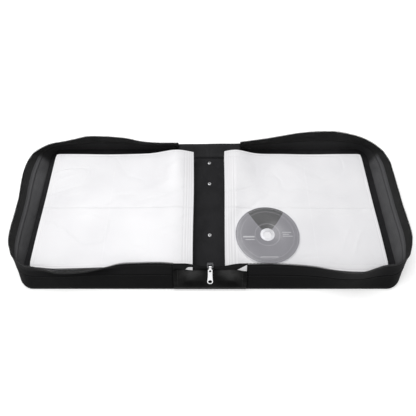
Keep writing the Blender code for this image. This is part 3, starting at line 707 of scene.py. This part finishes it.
def leans_at(mark, leans):
    """Leans at a place, on a smooth curve through the stated places."""
    here = distance_to(mark)
    marks = [distance_to(item[:2]) for item in leans]
    first = 0
    while first < len(leans) - 2 and marks[first + 1] < here:
        first += 1
    start, end = marks[first], marks[first + 1]
    run = end - start
    t = (here - start) / run
    result = []
    for link in (2, 3, 4):
        values = [Vector(item[link]) for item in leans]
        slopes = [slope_at(values, marks, at) * run for at in (first, first + 1)]
        a, b = values[first], values[first + 1]
        result.append(
            a * (2 * t ** 3 - 3 * t ** 2 + 1) + slopes[0] * (t ** 3 - 2 * t ** 2 + t)
            + b * (3 * t ** 2 - 2 * t ** 3) + slopes[1] * (t ** 3 - t ** 2)
        )
    return result


def corner(name, centre, radius, first):
    """The wall's foot round one corner, from its first direction on."""
    places = []
    for i in range(CORNER_STEPS):
        angle = first + pi / 2 * i / CORNER_STEPS
        way = Vector((cos(angle), sin(angle)))
        places.append((Vector(centre) + way * radius, way, (name, i / CORNER_STEPS)))
    return places


def wall_path():
    """The wall's foot: place, outward way and mark, from front to rear."""
    outer_x, outer_y = CASE_HALF_LENGTH - FOOT_INSET, CASE_HALF_DEPTH - FOOT_INSET
    radius = CORNER_RADIUS - FOOT_INSET
    bend_x, bend_y = outer_x - radius, outer_y - radius
    run, depth = bend_x - WALL_START_X, 2 * bend_y
    straight, across = round(run / COLUMN_STEP), round(depth / COLUMN_STEP)
    path = []
    for share in (i / straight for i in range(straight)):
        path.append((Vector((WALL_START_X + share * run, -outer_y)), Vector((0, -1)), ("front", share)))
    path += corner("front_corner", (bend_x, -bend_y), radius, -pi / 2)
    for share in (i / across for i in range(across)):
        path.append((Vector((outer_x, -bend_y + share * depth)), Vector((1, 0)), ("side", share)))
    path += corner("rear_corner", (bend_x, bend_y), radius, 0)
    for share in (i / straight for i in range(straight + 1)):
        path.append((Vector((bend_x - share * run, outer_y)), Vector((0, 1)), ("rear", share)))
    return path


def ripple(side, along, height):
    """How far the cloth stands off its smooth form, in metres."""
    rise = clamped((height - 0.004) / 0.02)
    slow = sin(along * 37 + side) + 0.5 * sin(along * 71 + 2.1 * side)
    quick = 0.30 * sin(along * 149 + height * 90 + side) + 0.18 * sin(along * 263 - height * 140)
    return 0.00032 * rise * (slow + quick)


def section(side, point, outward, leans, along):
    """Points up one section of the wall, with soft bends at its seams."""
    count = round(WALL_RISE / ROW_STEP)
    step = WALL_RISE / count
    here = Vector((point.x, point.y, 0.0003))
    points = []
    for i in range(count + 1):
        height = WALL_RISE * i / count
        off = outward * ripple(side, along, height)
        points.append((side * (here.x + off.x), here.y + off.y, here.z))
        lean = Vector((0, 0))
        for stop, soft, turn in zip(BEND_STOPS, BEND_SOFTNESS, leans):
            lean = lean.lerp(turn, between(height + step / 2, stop - soft, stop + soft))
        rise = sqrt(max(0.02, 1.0 - lean.length_squared))
        here = here + Vector((lean.x, lean.y, rise)) * step
    return points


def wall_grid(side, leans):
    """Rows of points on the whole wall, from its foot up."""
    path = wall_path()
    alongs = running_lengths([point for point, _, _ in path])
    columns = [
        section(side, point, outward, leans_at(mark, leans), along)
        for (point, outward, mark), along in zip(path, alongs)
    ]
    return [list(row) for row in zip(*columns)]


def ahead_at(row, i):
    """The way along a row at one of its places, from its neighbours."""
    return Vector(row[min(i + 1, len(row) - 1)]) - Vector(row[max(i - 1, 0)])


def normals_between(low, high, side):
    """Outward way of the strip between two rows, at each of their places."""
    ways = []
    for i in range(len(low)):
        up = Vector(high[i]) - Vector(low[i])
        ways.append((ahead_at(low, i).cross(up) * side).normalized())
    return ways


def offset_row(row, ways, distance):
    """A row of points moved along stated ways."""
    return [Vector(p) + w * distance for p, w in zip(row, ways)]


def build_walls(label, side, leans):
    """One cover's fabric wall, zip tape with its hem, zip teeth and stitches."""
    body = label + "_cover"
    rows = wall_grid(side, leans)
    seam = round((WALL_FOOT + WALL_FABRIC) / WALL_RISE * (len(rows) - 1))

    def ways_at(row):
        return normals_between(rows[row - 1], rows[row + 1], side)

    fabric = grid_piece(label + "_fabric_wall", rows[:seam + 1], NYLON, SIDE_LINING, flip=side < 0)
    thicken(fabric, CLOTH, -1.0, inner=1)
    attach(fabric, body)
    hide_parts(label + "_wall")

    ways = ways_at(seam - 1)
    hem = [offset_row(rows[row], ways, -CLOTH - 0.0001) for row in (seam - 3, seam - 1)]
    band_rows = hem + rows[seam + 1:]
    tape = grid_piece(label + "_zip_band", band_rows, TAPE, TAPE_INSIDE, flip=side < 0)
    thicken(tape, TAPE_CLOTH, -1.0, inner=1)
    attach(tape, body)
    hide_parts(label + "_zip_tape")

    top, under = rows[-1], rows[-3]
    crest = []
    for i, point in enumerate(top):
        ahead = ahead_at(top, i).normalized()
        up = Vector(point) - Vector(under[i])
        crest.append((up - ahead * up.dot(ahead)).normalized())
    edge = offset_row(top, normals_between(under, top, side), -TAPE_CLOTH / 2)
    line = offset_row(edge, crest, 0.0006)
    teeth = repeater(label + "_zip_chain", walk(line, crest, TEETH_PITCH), tooth_shape(), TEETH)
    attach(teeth, body)
    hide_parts(label + "_zip_teeth")

    upper, inner = len(rows) - 5, seam + 3
    stitches = []
    for row, seam_ways, lift, face in (
        (seam - 2, ways, 0.00012, 1),
        (upper, ways_at(upper), 0.00010, 1),
        (inner, ways_at(inner), -TAPE_CLOTH - 0.0001, -1),
    ):
        ups = [way * face for way in seam_ways]
        stitches += walk(offset_row(rows[row], seam_ways, lift), ups, STITCH_PITCH)
    seams = repeater(label + "_wall_stitches", stitches, stitch_shape(), THREAD)
    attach(seams, body)


# Sleeve pages

LEAVES = 11
LEAF_THICKNESS = 0.0013
BULGE = 0.0145
WELD_DEPTH = 0.00032

# By side: middle and width of the raised hump, and how the front edge runs
HUMP = {-1: (0.066, 0.042), 1: (0.052, 0.034)}
INNER_REACH = {-1: (0.038, 0.060), 1: (0.066, 0.090)}
OUTER_REACH = {-1: 0.0030, 1: 0.0090}
OUTER_TUCK = {-1: 0.0008, 1: 0.0045}

# The clear film's lift off the leaf, and off the disc
FILM_LIFT = 0.00025
FILM_OVER_DISC = 0.0003

# Raised creases of the top leaf, as (|x|, y) at both ends and their height
CREASES = {
    -1: (
        (0.314, 0.050, 0.262, 0.081, 0.00050), (0.313, 0.073, 0.280, 0.091, 0.00040),
        (0.300, 0.014, 0.236, 0.040, 0.00030), (0.262, -0.030, 0.216, -0.012, 0.00025),
        (0.118, -0.050, 0.104, -0.112, 0.00030), (0.250, 0.108, 0.214, 0.084, 0.00030),
    ),
    1: (
        (0.300, 0.104, 0.262, 0.074, 0.00035), (0.196, 0.034, 0.160, 0.098, 0.00030),
        (0.292, -0.046, 0.254, -0.106, 0.00045), (0.276, -0.034, 0.232, -0.100, 0.00030),
        (0.226, -0.020, 0.268, 0.022, 0.00025),
    ),
}


def disc_gap(x, y):
    """How far outside the disc's rim a place lies; below 0 over the disc."""
    return sqrt((x - DISC_CENTRE.x) ** 2 + (y - DISC_CENTRE.y) ** 2) - DISC_RADIUS


def disc_clearance(side, x, y):
    """0 over the disc's pocket, where the leaf lies flat, and 1 well away from it."""
    if side < 0:
        return 1.0
    return between(disc_gap(x, y), 0.001, 0.023)


def page_lift(side, x, y):
    """How far the top leaf rises above its flat level, near the spine's rear."""
    centre, width = HUMP[side]
    hump = exp(-((x - centre) / width) ** 2)
    rear = between(y, -0.045, 0.120)
    slack = 0.0007 * sin(x * 31 + 1.1) * sin(y * 37 + 0.4) + 0.0003 * sin(x * 57 + y * 43)
    return (BULGE * hump * (0.12 + 0.88 * rear) + slack) * disc_clearance(side, x, y)


def weld_dip(x, y):
    """Pressed lines round the pockets and in the binding margin."""
    dip = 0.25 * exp(-((x - SPLIT_X) / 0.0010) ** 2) + 1.4 * exp(-((y - SPLIT_Y) / 0.0009) ** 2)
    for line in UPRIGHT_WELDS:
        dip += exp(-((x - line) / 0.0006) ** 2)
    for line in LEVEL_WELDS:
        dip += exp(-((y - line) / 0.0006) ** 2)
    return WELD_DEPTH * min(1.4, dip)


def crease_rise(side, x, y):
    """How far the film and leaf stand up along the creases."""
    rise = 0.0
    for x_a, y_a, x_b, y_b, height in CREASES[side]:
        run_x, run_y = x_b - x_a, y_b - y_a
        length = sqrt(run_x ** 2 + run_y ** 2)
        share = ((x - x_a) * run_x + (y - y_a) * run_y) / length ** 2
        if 0 < share < 1:
            bow = 0.0022 * sin(pi * share * 1.6)
            off = ((x - x_a) * run_y - (y - y_a) * run_x) / length - bow
            rise += height * sin(pi * share) * exp(-(off / 0.0024) ** 2)
    return rise * disc_clearance(side, x, y)


def stations(low, high, count, lines=()):
    """Places from low to high, evenly spread, with three close together at each line."""
    marks = [low + (high - low) * i / count for i in range(count + 1)]
    for line in lines:
        near = (line - 0.0007, line, line + 0.0007)
        marks = [m for m in marks if m in (low, high) or abs(m - line) > 0.0012] + list(near)
    return sorted(marks)


def binding_drift(side, y):
    """How far the bound edge strays from its straight line, front to rear."""
    share = (y - PAGE_FRONT) / (PAGE_REAR - PAGE_FRONT)
    if side > 0:
        return -0.0040 * (1 - ease(min(1.0, share * 1.1)))
    return 0.0016 * ease(share) + 0.0006 * sin(share * 7)


def front_reach(side, x):
    """How much farther forward the leaves' front edge lies, by place along it."""
    inner = 1 - between(x, *INNER_REACH[side])
    outer = between(x, 0.15, 0.26) * (1 - between(x, 0.275, 0.312))
    return 0.0085 * inner + OUTER_REACH[side] * outer


def rounded(x, y):
    """Draws a leaf's outer corners round: where a place of the square leaf comes to lie."""
    radius = 0.0045
    in_x = PAGE_OUT - x
    for edge, way in ((PAGE_REAR, 1), (PAGE_FRONT, -1)):
        in_y = way * (edge - y)
        if in_x < radius and in_y < radius:
            a, b = radius - in_x, radius - in_y
            share = max(a, b) / max(1e-9, sqrt(a * a + b * b))
            return PAGE_OUT - radius + a * share, edge - way * (radius - b * share)
    return x, y


def leaf_rows(side, leaf, xs, ys):
    """Rows of points on one leaf, numbered from below, at stated places of the square leaf."""
    share = (leaf + 1) / LEAVES
    level = PAGE_BASE + (PAGE_TOP - PAGE_BASE) * share
    bound_base = SPINE_TOP + 0.0014
    bound_level = bound_base + (PAGE_TOP - bound_base) * share
    slip = 0.0012 * sin(leaf * 2.3) + 0.0006 * sin(leaf * 5.1)
    fan = 0.0028 * (1 - share)
    rows = []
    for flat_y in ys:
        deep = (flat_y - PAGE_FRONT) / (PAGE_REAR - PAGE_FRONT)
        row = []
        for flat_x in xs:
            x, y = rounded(flat_x, flat_y)
            y -= front_reach(side, x) * (1 - deep) ** 3
            lift = page_lift(side, x, y) * share ** 1.6
            bound = 1 - between(x, 0.048, 0.074)
            z = level * (1 - bound) + bound_level * bound + lift
            if leaf == LEAVES - 1:
                z += crease_rise(side, flat_x, flat_y) - weld_dip(flat_x, flat_y)
            across = (x - PAGE_IN) / (PAGE_OUT - PAGE_IN)
            drift = binding_drift(side, y) * (1 - across) ** 6
            tuck = OUTER_TUCK[side] * across ** 4
            row.append((side * (x + (slip + fan * 0.5) * across + drift - tuck), y + slip * 0.5, z))
        rows.append(row)
    return rows


def join_meshes(name, parts, *materials):
    """Makes one piece of several, and removes them."""
    bm = bmesh.new()
    for part in parts:
        apply_modifiers(part)
        bm.from_mesh(part.data)
        bpy.data.objects.remove(part, do_unlink=True)
    mesh = mesh_from(bm, name)
    smooth(mesh)
    return place(name, mesh, *materials)


def build_pages(label, side):
    """One block of leaves. The top one is fine enough for its welds and creases."""
    coarse = stations(PAGE_IN, PAGE_OUT, 34), stations(PAGE_FRONT, PAGE_REAR, 26)
    fine = (
        stations(PAGE_IN, PAGE_OUT, 150, UPRIGHT_WELDS + (SPLIT_X,)),
        stations(PAGE_FRONT, PAGE_REAR, 120, LEVEL_WELDS + (SPLIT_Y,)),
    )
    leaves = []
    for leaf in range(LEAVES):
        is_top = leaf == LEAVES - 1
        rows = leaf_rows(side, leaf, *(fine if is_top else coarse))
        part = grid_piece("leaf", rows, SLEEVE, flip=side < 0)
        thicken(part, LEAF_THICKNESS, -1.0 if is_top else 0.0)
        leaves.append(part)
    block = join_meshes(label + "_sleeve_block", leaves, SLEEVE)
    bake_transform(block)
    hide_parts(label + "_pages", label + "_page_margin")


def film_height(side, x, y):
    """Height of a clear pocket front, which runs over the disc in its pocket."""
    base = PAGE_TOP + page_lift(side, x, y) + crease_rise(side, x, y) + FILM_LIFT
    if side > 0:
        share = 1 - between(disc_gap(x, y), 0.0, 0.006)
        base = base * (1 - share) + max(base, DISC_HIGH.z + FILM_OVER_DISC) * share
    return base


def build_films(label, side):
    """The four clear pocket fronts, each open at its outer edge."""
    films = []
    columns = (PAGE_IN + 0.0185, SPLIT_X - 0.0003), (SPLIT_X + 0.0003, PAGE_OUT - 0.009)
    levels = (PAGE_FRONT + 0.0035, SPLIT_Y - 0.0002), (SPLIT_Y + 0.0002, PAGE_REAR - 0.0035)
    for x_low, x_high in columns:
        for y_low, y_high in levels:
            xs, ys = stations(x_low, x_high, 64), stations(y_low, y_high, 60)
            rows = [[(side * x, y, film_height(side, x, y)) for x in xs] for y in ys]
            part = grid_piece("film", rows, FILM, flip=side < 0)
            thicken(part, 0.0001, 1.0)
            films.append(part)
    film = join_meshes(label + "_pocket_film", films, FILM)
    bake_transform(film)


# The disc

def turned(name, profile, centre, steps, *materials):
    """A solid turned about a vertical line through the centre: radius, height and finish."""
    bm = bmesh.new()
    rings = []
    for k in range(steps):
        a = 2 * pi * k / steps
        rings.append([bm.verts.new((centre.x + r * cos(a), centre.y + r * sin(a), z)) for r, z, _ in profile])
    for k in range(steps):
        one, two = rings[k], rings[(k + 1) % steps]
        for i in range(len(profile)):
            j = (i + 1) % len(profile)
            face = bm.faces.new((one[i], two[i], two[j], one[j]))
            face.material_index = profile[i][2]
    bmesh.ops.recalc_face_normals(bm, faces=bm.faces[:])
    mesh = mesh_from(bm, name)
    smooth(mesh)
    return place(name, mesh, *materials)


def build_disc():
    """The disc: printed field, clear hub with its moulded rings, and a rounded rim."""
    radius = DISC_RADIUS
    low, high = DISC_LOW.z, DISC_HIGH.z
    profile = [
        (0.0075, high, 1), (0.0105, high, 1), (0.0108, high - 0.0001, 1), (0.0128, high - 0.0001, 1),
        (0.0131, high, 0), (radius - 0.0012, high, 1), (radius - 0.0001, high - 0.0001, 1),
        (radius, high - 0.0003, 1), (radius, low + 0.0003, 1), (radius - 0.0004, low, 1),
        (0.018, low, 1), (0.0175, low - 0.0001, 1), (0.0168, low - 0.0001, 1), (0.0163, low, 1),
        (0.0075, low, 1),
    ]
    disc = turned("printed_disc", profile, DISC_CENTRE, 128, disc_print(), CLEAR_HUB)
    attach(disc, "right_page_block")
    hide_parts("disc")


# End panels, hinge cloth and fittings

FRONT_LEAN = radians(30.0)
PANEL_UP = Vector((0, sin(FRONT_LEAN), cos(FRONT_LEAN)))
PANEL_OUT = Vector((0, -cos(FRONT_LEAN), sin(FRONT_LEAN)))
PANEL_FOOT_Y = CASE_HALF_DEPTH - 0.0006
PANEL_KNEE = SPINE_TOP + 0.0012
PANEL_SLANT = 0.0380
PANEL_CLOTH = 0.0010
PANEL_STEPS = 44
PANEL_HALF = 0.0638
REAR_PANEL_HALF = 0.0665
PANEL_SEAM_X = 0.0560
PANEL_DIP = 0.30
TAIL_WIDTH = 0.0105

# Where the hinge lining lies and bends, out from the middle
LINING_SPAN = (0.0450, 0.0660)

# The rear panel's fold, foot first: how far forward of its foot, and how high
REAR_FOLD = (
    (0.0000, 0.0004), (0.0000, 0.0050), (0.0001, 0.0100), (0.0010, 0.0160), (0.0022, 0.0215),
    (0.0034, 0.0252), (0.0050, 0.0258), (0.0080, 0.0238), (0.0095, 0.0222), (0.0130, 0.0186),
    (0.0180, 0.0142), (0.0230, 0.0106), (0.0280, 0.0088),
)


def panel_ripple(x, s):
    """How far the front panel bulges or sags, by place across it and up it."""
    fade = min(1.0, s / 0.012)
    sag = -0.0016 * sin(pi * min(1.0, s / 0.04)) * (1 - (x / 0.064) ** 2)
    creases = 0.0010 * cos(x * 88) + 0.0006 * sin(x * 110 + s * 90) + 0.0003 * sin(x * 230 + s * 60)
    return (sag + creases) * fade


def tape_gap(x):
    """How far the front tape's lower edge stands clear of the panel, beside the slider."""
    if x < 0:
        return 0.0076 * exp(-((x + 0.0335) / 0.0092) ** 4)
    return 0.0122 * clamped((x - 0.0440) / 0.0190)


def tape_sag(x):
    """How far the front tape's upper edge hangs down towards the slider."""
    return 0.0062 * (1 - between(abs(x - 0.004), 0.010, 0.050))


def on_panel(x, s, off):
    """A place on the leaning front panel: across it, up it and out of it."""
    return tuple(Vector((x, -PANEL_FOOT_Y, PANEL_KNEE)) + PANEL_UP * s + PANEL_OUT * off)


def front_rows(side, x_values):
    """The front panel: upright to its knee, then leaning back up to the tape."""
    rows = []
    for z in (0.0004, PANEL_KNEE * 0.5, PANEL_KNEE):
        rows.append([(side * x, -PANEL_FOOT_Y, z) for x in x_values])
    for k in range(1, 20):
        row = []
        for x in x_values:
            s = (PANEL_SLANT - PANEL_DIP * tape_gap(side * x)) * k / 19
            row.append(on_panel(side * x, s, panel_ripple(side * x, s)))
        rows.append(row)
    return rows


def tail_rows(side, x_values):
    """The tape's short end, lapped behind the front panel's upper edge."""
    rows = []
    for k in range(7):
        row = []
        for x in x_values:
            start = PANEL_SLANT - 0.0030 + tape_gap(side * x)
            end = PANEL_SLANT + TAIL_WIDTH + 0.0020 - tape_sag(side * x)
            s = start + (end - start) * k / 6
            row.append(on_panel(side * x, s, 0.0008 * k / 6 - 0.0016))
        rows.append(row)
    return rows


def rear_rows(side, x_values):
    """The rear panel, folded forward and down onto the spine."""
    rows = []
    for forward, z in REAR_FOLD:
        grip = min(1.0, z / 0.012)
        row = []
        for x in x_values:
            wave = 0.00025 * sin(side * x * 90) + 0.0012 * side * x / 0.064
            row.append((side * x, PANEL_FOOT_Y - forward, z + wave * grip))
        rows.append(row)
    return rows


def build_end_panels():
    """Each end panel in two halves, one for each side."""
    xs = [PANEL_HALF * i / PANEL_STEPS for i in range(PANEL_STEPS + 1)]
    wide_xs = [REAR_PANEL_HALF * i / PANEL_STEPS for i in range(PANEL_STEPS + 1)]
    rear_nodes = ("rear_end_panel", "rear_zip_tail")
    for label, side, _ in SIDES:
        front = front_rows(side, xs)
        for kind, rows, cloth, thick, nodes in (
            ("front_coated_panel", front, COATED, PANEL_CLOTH, ("front_end_panel",)),
            ("front_tape_end", tail_rows(side, xs), TAPE, TAPE_CLOTH, ("front_zip_tail",)),
            ("rear_folded_panel", rear_rows(side, wide_xs), SPINE_CLOTH, PANEL_CLOTH, rear_nodes),
        ):
            panel = grid_piece("%s_%s" % (label, kind), rows, cloth, flip=side < 0)
            thicken(panel, thick, 0.0)
            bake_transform(panel)
            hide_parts(*nodes)
        column = round(PANEL_SEAM_X / PANEL_HALF * PANEL_STEPS)
        seam = [row[column] for row in front[3:]]
        ways = [PANEL_OUT] * len(seam)
        line = offset_row(seam, ways, PANEL_CLOTH / 2 + 0.0001)
        places = walk(line, ways, STITCH_PITCH)
        stitches = repeater(label + "_panel_stitches", places, stitch_shape(), THREAD)
        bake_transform(stitches)


def build_hinge_cloth():
    """Lining across each hinge, from the spine down to the cover's lining."""
    half = CASE_HALF_DEPTH - 0.0035
    for label, side, _ in SIDES:
        rows = []
        for j in range(33):
            y = -half + 2 * half * j / 32
            row = []
            for i in range(17):
                share = i / 16
                x = LINING_SPAN[0] + (LINING_SPAN[1] - LINING_SPAN[0]) * share
                level = (SPINE_TOP + 0.0004) * (1 - ease(share)) + (LINING_TOP + 0.0002) * ease(share)
                row.append((side * x, y, level + 0.0003 * sin(y * 160 + side)))
            rows.append(row)
        strip = grid_piece(label + "_hinge_lining", rows, SPINE_CLOTH, flip=side < 0)
        thicken(strip, 0.0006, 1.0)
        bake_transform(strip)


def build_rivets():
    """Tubular rivets: a rolled bright rim round a bore coloured near black as painted shade, and a flat foot.
    """
    for number in range(1, 5):
        name = "spine_rivet_%d" % number
        low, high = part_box(name)
        centre = (low + high) / 2
        seat, top = SPINE_TOP, high.z + 0.0002
        profile = [
            (0.0004, seat - 0.0030, 1), (0.0012, seat - 0.0030, 1), (0.0013, top - 0.0005, 1),
            (0.0016, top - 0.0001, 0), (0.0020, top, 0), (0.0030, top - 0.0002, 0),
            (0.0037, top - 0.0007, 0), (0.0039, seat + 0.0001, 0), (0.0022, seat + 0.0001, 0),
            (0.0022, low.z + 0.0003, 0), (0.0036, low.z + 0.0003, 0), (0.0036, low.z, 0),
            (0.0004, low.z, 1),
        ]
        rivet = turned("rolled_rivet_%d" % number, profile, centre, 40, RIVET_STEEL, BORE_SHADE)
        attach(rivet, "spine")
        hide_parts(name)


# The zip's pull, on the pin that the solids give it: its outline as distance
# below the pin and half width, and its holes as radius and distance below the pin
PULL_PIVOT = Vector((0, -0.1403, 0.05228))
PULL_HANG = radians(24.9)
PULL_LENGTH = 0.0384
PULL_THICKNESS = 0.0014
PULL_WIDTHS = (
    (0.0012, 0.0020), (0.0038, 0.0020), (0.0050, 0.0032), (0.0065, 0.0040), (0.0105, 0.0039),
    (0.0180, 0.0039), (0.0240, 0.0042), (0.0300, 0.0048), (0.0330, 0.0051),
)
PULL_HOLES = (("upper_hole", 0.0020, 0.0088), ("lower_hole", 0.0034, 0.0328))


def cutter(name, radius, spot, turn):
    """A round bar that cuts one hole."""
    bm = bmesh.new()
    bmesh.ops.create_cone(bm, cap_ends=True, segments=48, radius1=radius, radius2=radius, depth=0.02)
    bmesh.ops.transform(bm, matrix=Matrix.Translation(spot) @ turn, verts=bm.verts[:])
    return place(name, mesh_from(bm, name))


def build_pull():
    """A flared steel plate with two holes and an eye round the slider's pin."""
    down = Vector((0, -sin(PULL_HANG), -cos(PULL_HANG)))
    across = Vector((1, 0, 0))
    edge = [(half, -fall) for fall, half in PULL_WIDTHS]
    end_half = PULL_WIDTHS[-1][1]
    for k in range(13):
        a = pi * k / 12
        edge.append((end_half * cos(a), end_half - PULL_LENGTH - end_half * sin(a)))
    edge += [(-half, -fall) for fall, half in reversed(PULL_WIDTHS)]
    kept = []
    for point in edge:
        if not kept or (Vector(point) - Vector(kept[-1])).length > 0.0002:
            kept.append(point)
    bm = bmesh.new()
    bm.faces.new([bm.verts.new(PULL_PIVOT + across * x - down * z) for x, z in kept])
    pull = place("zip_pull_plate", mesh_from(bm, "zip_pull_plate"), STEEL)
    thicken(pull, PULL_THICKNESS, 0.0)
    turn = Matrix.Rotation(pi / 2 - PULL_HANG, 4, "X")
    cutters = [cutter(name, radius, PULL_PIVOT + down * fall, turn) for name, radius, fall in PULL_HOLES]
    for hole in cutters:
        boolean = pull.modifiers.new("hole", "BOOLEAN")
        boolean.operation = "DIFFERENCE"
        boolean.solver = "EXACT"
        boolean.object = hole
    soft = pull.modifiers.new("soft_edge", "BEVEL")
    soft.width = 0.00035
    soft.segments = 3
    soft.limit_method = "ANGLE"
    apply_modifiers(pull)
    for hole in cutters:
        bpy.data.objects.remove(hole, do_unlink=True)
    profile = [(0.0012, -0.0020, 0), (0.0021, -0.0020, 0), (0.0021, 0.0020, 0), (0.0012, 0.0020, 0)]
    eye = turned("pull_eye", profile, Vector((0, 0, 0)), 32, STEEL)
    eye.data.transform(Matrix.Translation(PULL_PIVOT) @ Matrix.Rotation(pi / 2, 4, "Y"))
    whole = join_meshes("flared_zip_pull", [pull, eye], STEEL)
    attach(whole, "pull")
    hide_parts("pull_tab")


def finish_cad_nodes():
    """Finishes for the solids that stay as they are."""
    finishes = {
        "spine_shell": FLAT_NYLON, "left_cover_shell": FLAT_NYLON, "right_cover_shell": FLAT_NYLON,
        # On the cover linings the dark lining is painted shade at the walls' feet beside the pages
        "spine_lining": FLAT_LINING, "left_cover_lining": FLAT_LINING,
        "right_cover_lining": FLAT_LINING,
        "spine_board": BOARD, "left_cover_board": BOARD, "right_cover_board": BOARD,
        "carry_strap": WEBBING, "zip_slider": DARK_STEEL,
    }
    for name, material in finishes.items():
        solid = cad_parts[name]
        if not solid.material_slots:
            solid.data.materials.append(material)
        for slot in solid.material_slots:
            slot.material = material


# Floor, light and camera

FLOOR_GLOW = 0.34
WORLD_STRENGTH = 0.58

# Each lamp's place, disk size and power; all are aimed at the middle of the case
LAMPS = {"key": ((-0.28, 0.45, 1.5), 1.1, 10.2), "fill": ((-0.85, -0.75, 1.1), 1.2, 3.4)}


def build_stage():
    """A pale floor that looks white to the camera and in reflections."""
    bm = bmesh.new()
    bmesh.ops.create_grid(bm, x_segments=1, y_segments=1, size=6.0)
    mesh = mesh_from(bm, "floor")
    material, tree, shader = new_material("pale_floor", (0.93, 0.93, 0.93), 0.9)
    output = tree.nodes["Material Output"]
    path = node(tree, "ShaderNodeLightPath")
    seen = math(tree, "MAXIMUM", path.outputs["Is Camera Ray"], path.outputs["Is Glossy Ray"])
    glow = node(tree, "ShaderNodeEmission")
    glow.inputs["Color"].default_value = (1.0, 1.0, 1.0, 1.0)
    glow.inputs["Strength"].default_value = FLOOR_GLOW
    add = node(tree, "ShaderNodeAddShader")
    mix = node(tree, "ShaderNodeMixShader")
    tree.links.new(shader.outputs[0], add.inputs[0])
    tree.links.new(glow.outputs[0], add.inputs[1])
    tree.links.new(seen, mix.inputs[0])
    tree.links.new(shader.outputs[0], mix.inputs[1])
    tree.links.new(add.outputs[0], mix.inputs[2])
    tree.links.new(mix.outputs[0], output.inputs["Surface"])
    floor = place("floor", mesh, material)


def area_light(name, spot, size, power):
    """A round lamp, aimed at the middle of the case."""
    data = bpy.data.lights.new(name, "AREA")
    data.shape = "DISK"
    data.size = size
    data.energy = power
    lamp = bpy.data.objects.new(name, data)
    lamp.location = spot
    lamp.rotation_euler = (-Vector(spot)).to_track_quat("-Z", "Y").to_euler()
    bpy.context.scene.collection.objects.link(lamp)


def build_light():
    world = bpy.data.worlds.new("studio")
    bpy.context.scene.world = world
    world.use_nodes = True
    background = world.node_tree.nodes["Background"]
    background.inputs["Color"].default_value = (1.0, 1.0, 1.0, 1.0)
    background.inputs["Strength"].default_value = WORLD_STRENGTH
    for name, (spot, size, power) in LAMPS.items():
        area_light(name, spot, size, power)


def build_camera():
    """The photograph's view: 58 degrees down, from a little in front of the case."""
    data = bpy.data.cameras.new("camera")
    data.sensor_width = 36.0
    data.lens = 35.55
    data.shift_x = 0.0046
    camera = bpy.data.objects.new("camera", data)
    camera.location = (-0.007, -0.4235, 0.698)
    camera.rotation_euler = (radians(31.88), 0, 0)
    bpy.context.scene.collection.objects.link(camera)
    bpy.context.scene.camera = camera
    bpy.context.scene.view_settings.view_transform = "Standard"


for side_label, side_sign, side_leans in SIDES:
    build_walls(side_label, side_sign, side_leans)
    build_pages(side_label, side_sign)
    build_films(side_label, side_sign)
build_disc()
build_end_panels()
build_hinge_cloth()
build_rivets()
build_pull()
finish_cad_nodes()
build_stage()
build_light()
build_camera()
